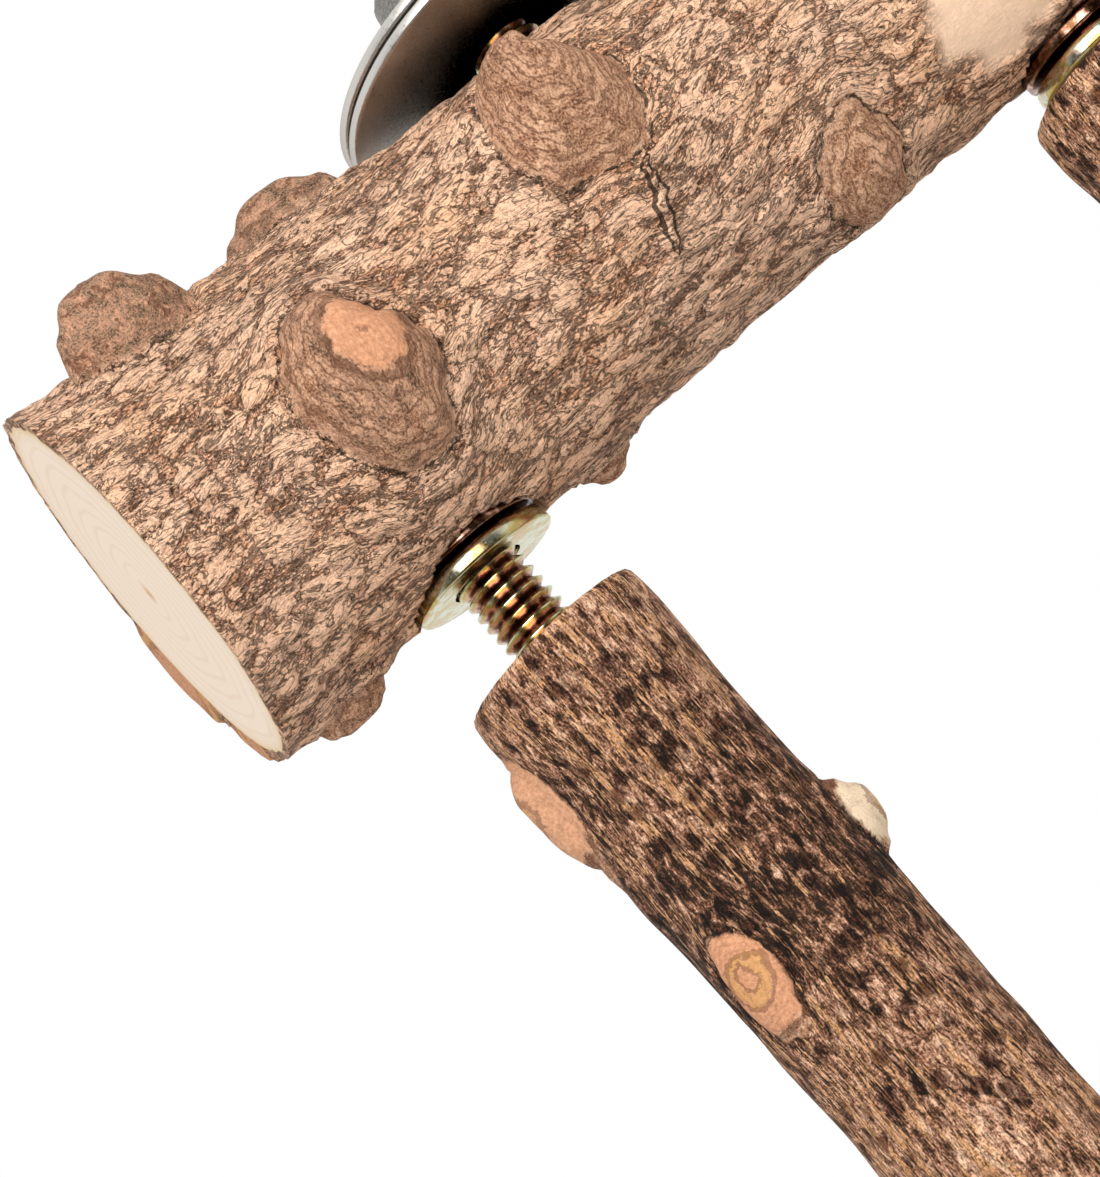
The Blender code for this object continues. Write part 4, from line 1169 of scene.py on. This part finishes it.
class LADDER_OT_rung_hardware(bpy.types.Operator):
    """Make the bolts, insert nuts and washers of the rungs"""

    bl_idname = "ladder.rung_hardware"
    bl_label = "Rung hardware"

    # Radius of an insert nut's sleeve as a share of its flange's
    sleeve_share = 0.62

    def execute(self, context):
        hardware = context.scene.ladder_hardware
        zinc = shared_material("yellow passivated zinc", zinc_material, hardware)
        zinc_piece = partial(make_piece, slot="yellow_zinc", materials=[zinc], sharp=True)
        for number in RUNG_NUMBERS:
            matrix = station(f"rung_{number}_turn")
            bolt, insert, washer = f"rung_bolt_{number}", f"insert_nut_{number}", f"rung_washer_{number}"
            bm = bmesh.new()
            add_thread(bm, hardware, *span(bolt, matrix))
            # The thread's film paints shade in its valleys and highlights on its crests
            spread_film(bm, thread_film_shade_and_highlight(hardware))
            zinc_piece(bm, f"zinc_bolt_{number}", matrix, f"rung_{number}", replaced=[bolt])
            bm = bmesh.new()
            self.add_insert(bm, hardware, *span(insert, matrix), reach(insert, matrix))
            spread_film(bm, lambda radius, height: 0.25)
            zinc_piece(bm, f"zinc_insert_{number}", matrix, "trunk", replaced=[insert])
            bm = bmesh.new()
            low, high = span(washer, matrix)
            outline = ring_outline(
                hardware.hole_radius, reach(washer, matrix), low, high,
                hardware.washer_rounding, hardware.edge_rounding,
            )
            spin_outline(bm, outline, TURNED_STEPS, closed=True)
            # The washer's film bands are partly the plating's colour and partly painted reflections
            spread_film(bm, lambda radius, height: self.washer_film((height - low) / (high - low)))
            zinc_piece(bm, f"zinc_washer_{number}", matrix, f"washer_{number}", replaced=[washer])
        return {"FINISHED"}

    def washer_film(self, share):
        """The film of a washer, with bands that also paint its reflections: maroon towards the trunk, rose
        round the rim and pale towards the rung.
        """
        return 0.15 + 0.5 * share + 0.5 * bell(share, 0.45, 0.15)

    def add_insert(self, bm, hardware, low, high, radius):
        """A flange on a plain sleeve that is hidden in the wood."""
        flange_back = high - FLANGE_THICKNESS
        body = radius * self.sleeve_share
        outline = [(hardware.hole_radius, high)]
        outline += rounded((radius, high), (0, high), (radius, flange_back), hardware.edge_rounding)
        outline += rounded((radius, flange_back), (radius, high), (0, flange_back), hardware.edge_rounding)
        outline += [(body, flange_back), (body, low), (hardware.hole_radius, low)]
        spin_outline(bm, outline, TURNED_STEPS, closed=True)


class LADDER_OT_clamps(bpy.types.Operator):
    """Make the studs, fender washers and wing nuts that grip the cage"""

    bl_idname = "ladder.clamps"
    bl_label = "Clamps"

    # Height, foot and top radius of a wing nut's hub, and how much its ears swell
    hub_height, hub_radius, hub_top = 0.010, 0.0090, 0.0072
    ear_swelling = 1.25
    # How finely the casting is joined, and how often it is softened
    voxel_size, softenings = 0.0004, 6

    def execute(self, context):
        hardware = context.scene.ladder_hardware
        zinc = shared_material("yellow passivated zinc", zinc_material, hardware)
        steel = shared_material("tumbled steel", steel_material, hardware)
        cast = shared_material("plain cast steel", cast_material, hardware)
        for side in CLAMP_SIDES:
            matrix = station(f"{side}_wing_nut_turn")
            stud = f"{side}_clamp_stud"
            bm = bmesh.new()
            add_thread(bm, hardware, *span(stud, matrix))
            # The thread's film paints shade in its valleys and highlights on its crests
            spread_film(bm, thread_film_shade_and_highlight(hardware))
            make_piece(bm, f"zinc_{side}_stud", matrix, "trunk", "yellow_zinc", [zinc], [stud], sharp=True)
            for name in ("inner", "outer"):
                node = f"{side}_{name}_clamp_washer"
                low, high = span(node, matrix)
                outer = reach(node, matrix)
                rounding = hardware.fender_rounding
                outline = ring_outline(hardware.hole_radius, outer, low, high, rounding, rounding)
                edge = outer - 2 * rounding
                bm = bmesh.new()
                spin_outline(bm, outline, TURNED_STEPS, closed=True)
                spread_film(bm, lambda radius, height: float(radius > edge))
                body = f"{side}_{name}_washer"
                make_piece(bm, f"steel_{body}", matrix, body, "tumbled_steel", [steel], [node], sharp=True)
            node = f"{side}_wing_nut"
            bm = self.wing_nut(hardware, *span(node, matrix), reach(node, matrix))
            make_piece(bm, f"cast_{side}_wing_nut", matrix, node, "cast_steel", [cast], [node])
        return {"FINISHED"}

    def wing_nut(self, hardware, low, high, wing_reach):
        """A tapered hub with two upright ears, blended as a casting is."""
        bm = bmesh.new()
        top = low + self.hub_height
        spin_outline(bm, [(0, top), (self.hub_top, top), (self.hub_radius, low), (0, low)], TURNED_STEPS)
        inner = hardware.hole_radius
        for ear in (-1, 1):
            made = bmesh.ops.create_uvsphere(bm, u_segments=48, v_segments=24, radius=1)
            reach_half = (wing_reach - inner) / 2
            rise_half = (high - low - inner) / 2
            middle = (ear * (inner + reach_half), 0, low + inner + rise_half)
            thick_half = hardware.wing_thickness / 2 * self.ear_swelling
            scale = Matrix.Diagonal((reach_half, thick_half, rise_half, 1))
            bmesh.ops.transform(bm, verts=made["verts"], matrix=Matrix.Translation(middle) @ scale)
        return self.blended(bm, low, high, inner)

    def blended(self, bm, low, high, hole_radius):
        """The shells joined into one skin with soft fillets, then bored through."""
        mesh = bpy.data.meshes.new("wing_nut_blank")
        bm.to_mesh(mesh)
        bm.free()
        blank = bpy.data.objects.new("wing_nut_blank", mesh)
        bpy.context.scene.collection.objects.link(blank)
        remesh = blank.modifiers.new("join", "REMESH")
        remesh.mode = "VOXEL"
        remesh.voxel_size = self.voxel_size
        soften = blank.modifiers.new("soften", "SMOOTH")
        soften.iterations = self.softenings
        hole_mesh = bpy.data.meshes.new("wing_nut_hole")
        hole_bm = bmesh.new()
        bmesh.ops.create_cone(
            hole_bm, cap_ends=True, segments=TURNED_STEPS,
            radius1=hole_radius, radius2=hole_radius, depth=4 * (high - low),
        )
        hole_bm.to_mesh(hole_mesh)
        hole_bm.free()
        hole = bpy.data.objects.new("wing_nut_hole", hole_mesh)
        bpy.context.scene.collection.objects.link(hole)
        bore = blank.modifiers.new("bore", "BOOLEAN")
        bore.operation = "DIFFERENCE"
        bore.object = hole
        bpy.context.view_layer.update()
        evaluated = blank.evaluated_get(bpy.context.evaluated_depsgraph_get())
        joined = bmesh.new()
        joined.from_mesh(evaluated.to_mesh())
        evaluated.to_mesh_clear()
        bpy.data.objects.remove(blank)
        bpy.data.objects.remove(hole)
        return joined


class LADDER_OT_stage(bpy.types.Operator):
    """Make the camera, the lights and the pale floor"""

    bl_idname = "ladder.stage"
    bl_label = "Stage"

    # Width of the camera's sensor, in mm
    sensor_width = 36
    # How far the lights are from the target
    light_distance = 0.9
    # Where the floor starts and ends to fade, as shares of its radius
    fade_start, fade_end = 0.45, 0.98

    def execute(self, context):
        stage = context.scene.ladder_stage
        axes = self.view_axes(stage)
        self.add_camera(context.scene, stage, axes)
        self.add_lights(context.scene, stage, axes)
        self.add_world(context.scene, stage, axes)
        self.add_floor(context.scene, stage)
        context.scene.view_settings.view_transform = "Standard"
        return {"FINISHED"}

    def view_axes(self, stage):
        """The camera's right, up and backward directions, as a matrix's columns."""
        turn = Matrix.Rotation(stage.azimuth, 3, "Z")
        tilt = Matrix.Rotation(math.pi / 2 - stage.elevation, 3, "X")
        roll = Matrix.Rotation(stage.roll, 3, "Z")
        return turn @ tilt @ roll

    def add_camera(self, scene, stage, axes):
        data = bpy.data.cameras.new("photo_camera")
        data.sensor_width = self.sensor_width
        data.lens = data.sensor_width * stage.distance / stage.frame_height
        camera = bpy.data.objects.new("photo_camera", data)
        scene.collection.objects.link(camera)
        back = axes.col[2]
        place = Vector(stage.target) + back * stage.distance
        camera.matrix_world = Matrix.Translation(place) @ axes.to_4x4()
        scene.camera = camera

    def add_lights(self, scene, stage, axes):
        """A large soft light beside the camera and one over the picture's top."""
        right, up, back = axes.col
        target = Vector(stage.target)
        for name, power, size, direction in (
            ("key_light", stage.key, 0.7, back * 1.0 + up * 0.40 - right * 0.50),
            ("rim_light", stage.rim, 0.5, up * 1.0 - back * 0.15 + right * 0.35),
        ):
            data = bpy.data.lights.new(name, "AREA")
            data.energy = power
            data.size = size
            light = bpy.data.objects.new(name, data)
            scene.collection.objects.link(light)
            light.location = target + direction.normalized() * self.light_distance
            light.rotation_euler = direction.to_track_quat("Z", "Y").to_euler()

    def add_world(self, scene, stage, axes):
        """Even light, white past the ladder, and a dim room behind the camera that only reflections show."""
        world = bpy.data.worlds.new("studio")
        world.use_nodes = True
        scene.world = world
        add = partial(add_node, world.node_tree)
        path = add("LightPath").node.outputs
        direction = add("TexCoord", take="Generated")
        facing = add("VectorMath", {0: direction, 1: axes.col[2]}, "Value", operation="DOT_PRODUCT")
        dimming = {"From Min": 0.25, "From Max": 0.65, "To Min": 1.0, "To Max": stage.room}
        room = add("MapRange", {"Value": facing, **dimming})
        shown = add("Math", {0: path["Is Camera Ray"], 1: path["Is Transmission Ray"]}, operation="MAXIMUM")
        lit = add("MapRange", {"Value": shown, "To Min": stage.ambient, "To Max": 1.0})
        strength = add("Mix", {0: path["Is Glossy Ray"], 2: lit, 3: room})
        fill(world.node_tree.nodes["Background"], {"Color": (1, 1, 1, 1), "Strength": strength})

    def add_floor(self, scene, stage):
        """A pale floor under the trunk's lower end that fades out before it reaches the picture."""
        bm = bmesh.new()
        bmesh.ops.create_circle(bm, cap_ends=True, segments=64, radius=stage.floor_radius)
        height = TRUNK_LOW.z - stage.floor_drop
        bmesh.ops.translate(bm, verts=bm.verts, vec=(TRUNK_AXIS.x, TRUNK_AXIS.y, height))
        mesh = bpy.data.meshes.new("floor")
        bm.to_mesh(mesh)
        bm.free()
        mesh.materials.append(self.floor_material(stage, height))
        floor = bpy.data.objects.new("floor", mesh)
        scene.collection.objects.link(floor)

    def floor_material(self, stage, height):
        """Matt painted board: plain and pale, fading to nothing at its edge."""
        material, add, shader = new_material("matt painted board")
        place = add("TexCoord", take="Object")
        middle = (TRUNK_AXIS.x, TRUNK_AXIS.y, height)
        offset = add("VectorMath", {0: place, 1: middle}, operation="SUBTRACT")
        distance = add("VectorMath", {0: offset}, "Value", operation="LENGTH")
        start, end = self.fade_start * stage.floor_radius, self.fade_end * stage.floor_radius
        band = {"From Min": start, "From Max": end, **FALLING}
        fade = add("MapRange", {"Value": distance, **band}, interpolation_type="SMOOTHSTEP")
        fill(shader, {"Alpha": fade, "Base Color": stage.floor, "Roughness": 0.9, "Specular IOR Level": 0.1})
        return material


class LADDER_PT_panel(bpy.types.Panel):
    """Buttons that make the ladder's pieces, with their settings"""

    bl_idname = "LADDER_PT_panel"
    bl_label = "Bird Ladder"
    bl_space_type = "VIEW_3D"
    bl_region_type = "UI"
    bl_category = "Bird Ladder"

    def draw(self, context):
        layout = self.layout
        for operator in OPERATORS:
            layout.operator(operator.bl_idname)
        for name in SETTINGS:
            box = layout.box()
            settings = getattr(context.scene, name)
            for key in settings.bl_rna.properties.keys():
                if key not in ("rna_type", "name"):
                    box.prop(settings, key)


SETTINGS = {
    "ladder_trunk": LadderTrunkSettings,
    "ladder_rung": LadderRungSettings,
    "ladder_hardware": LadderHardwareSettings,
    "ladder_stage": LadderStageSettings,
}
OPERATORS = (
    LADDER_OT_trunk,
    LADDER_OT_rungs,
    LADDER_OT_rung_hardware,
    LADDER_OT_clamps,
    LADDER_OT_stage,
)


def register():
    for group in SETTINGS.values():
        bpy.utils.register_class(group)
    for name, group in SETTINGS.items():
        setattr(bpy.types.Scene, name, PointerProperty(type=group))
    for item in (*OPERATORS, LADDER_PT_panel):
        bpy.utils.register_class(item)


def unregister():
    for item in reversed((*OPERATORS, LADDER_PT_panel)):
        bpy.utils.unregister_class(item)
    for name, group in SETTINGS.items():
        delattr(bpy.types.Scene, name)
        bpy.utils.unregister_class(group)


def main():
    register()
    bpy.ops.ladder.trunk()
    bpy.ops.ladder.rungs()
    bpy.ops.ladder.rung_hardware()
    bpy.ops.ladder.clamps()
    bpy.ops.ladder.stage()


if __name__ == "__main__":
    main()
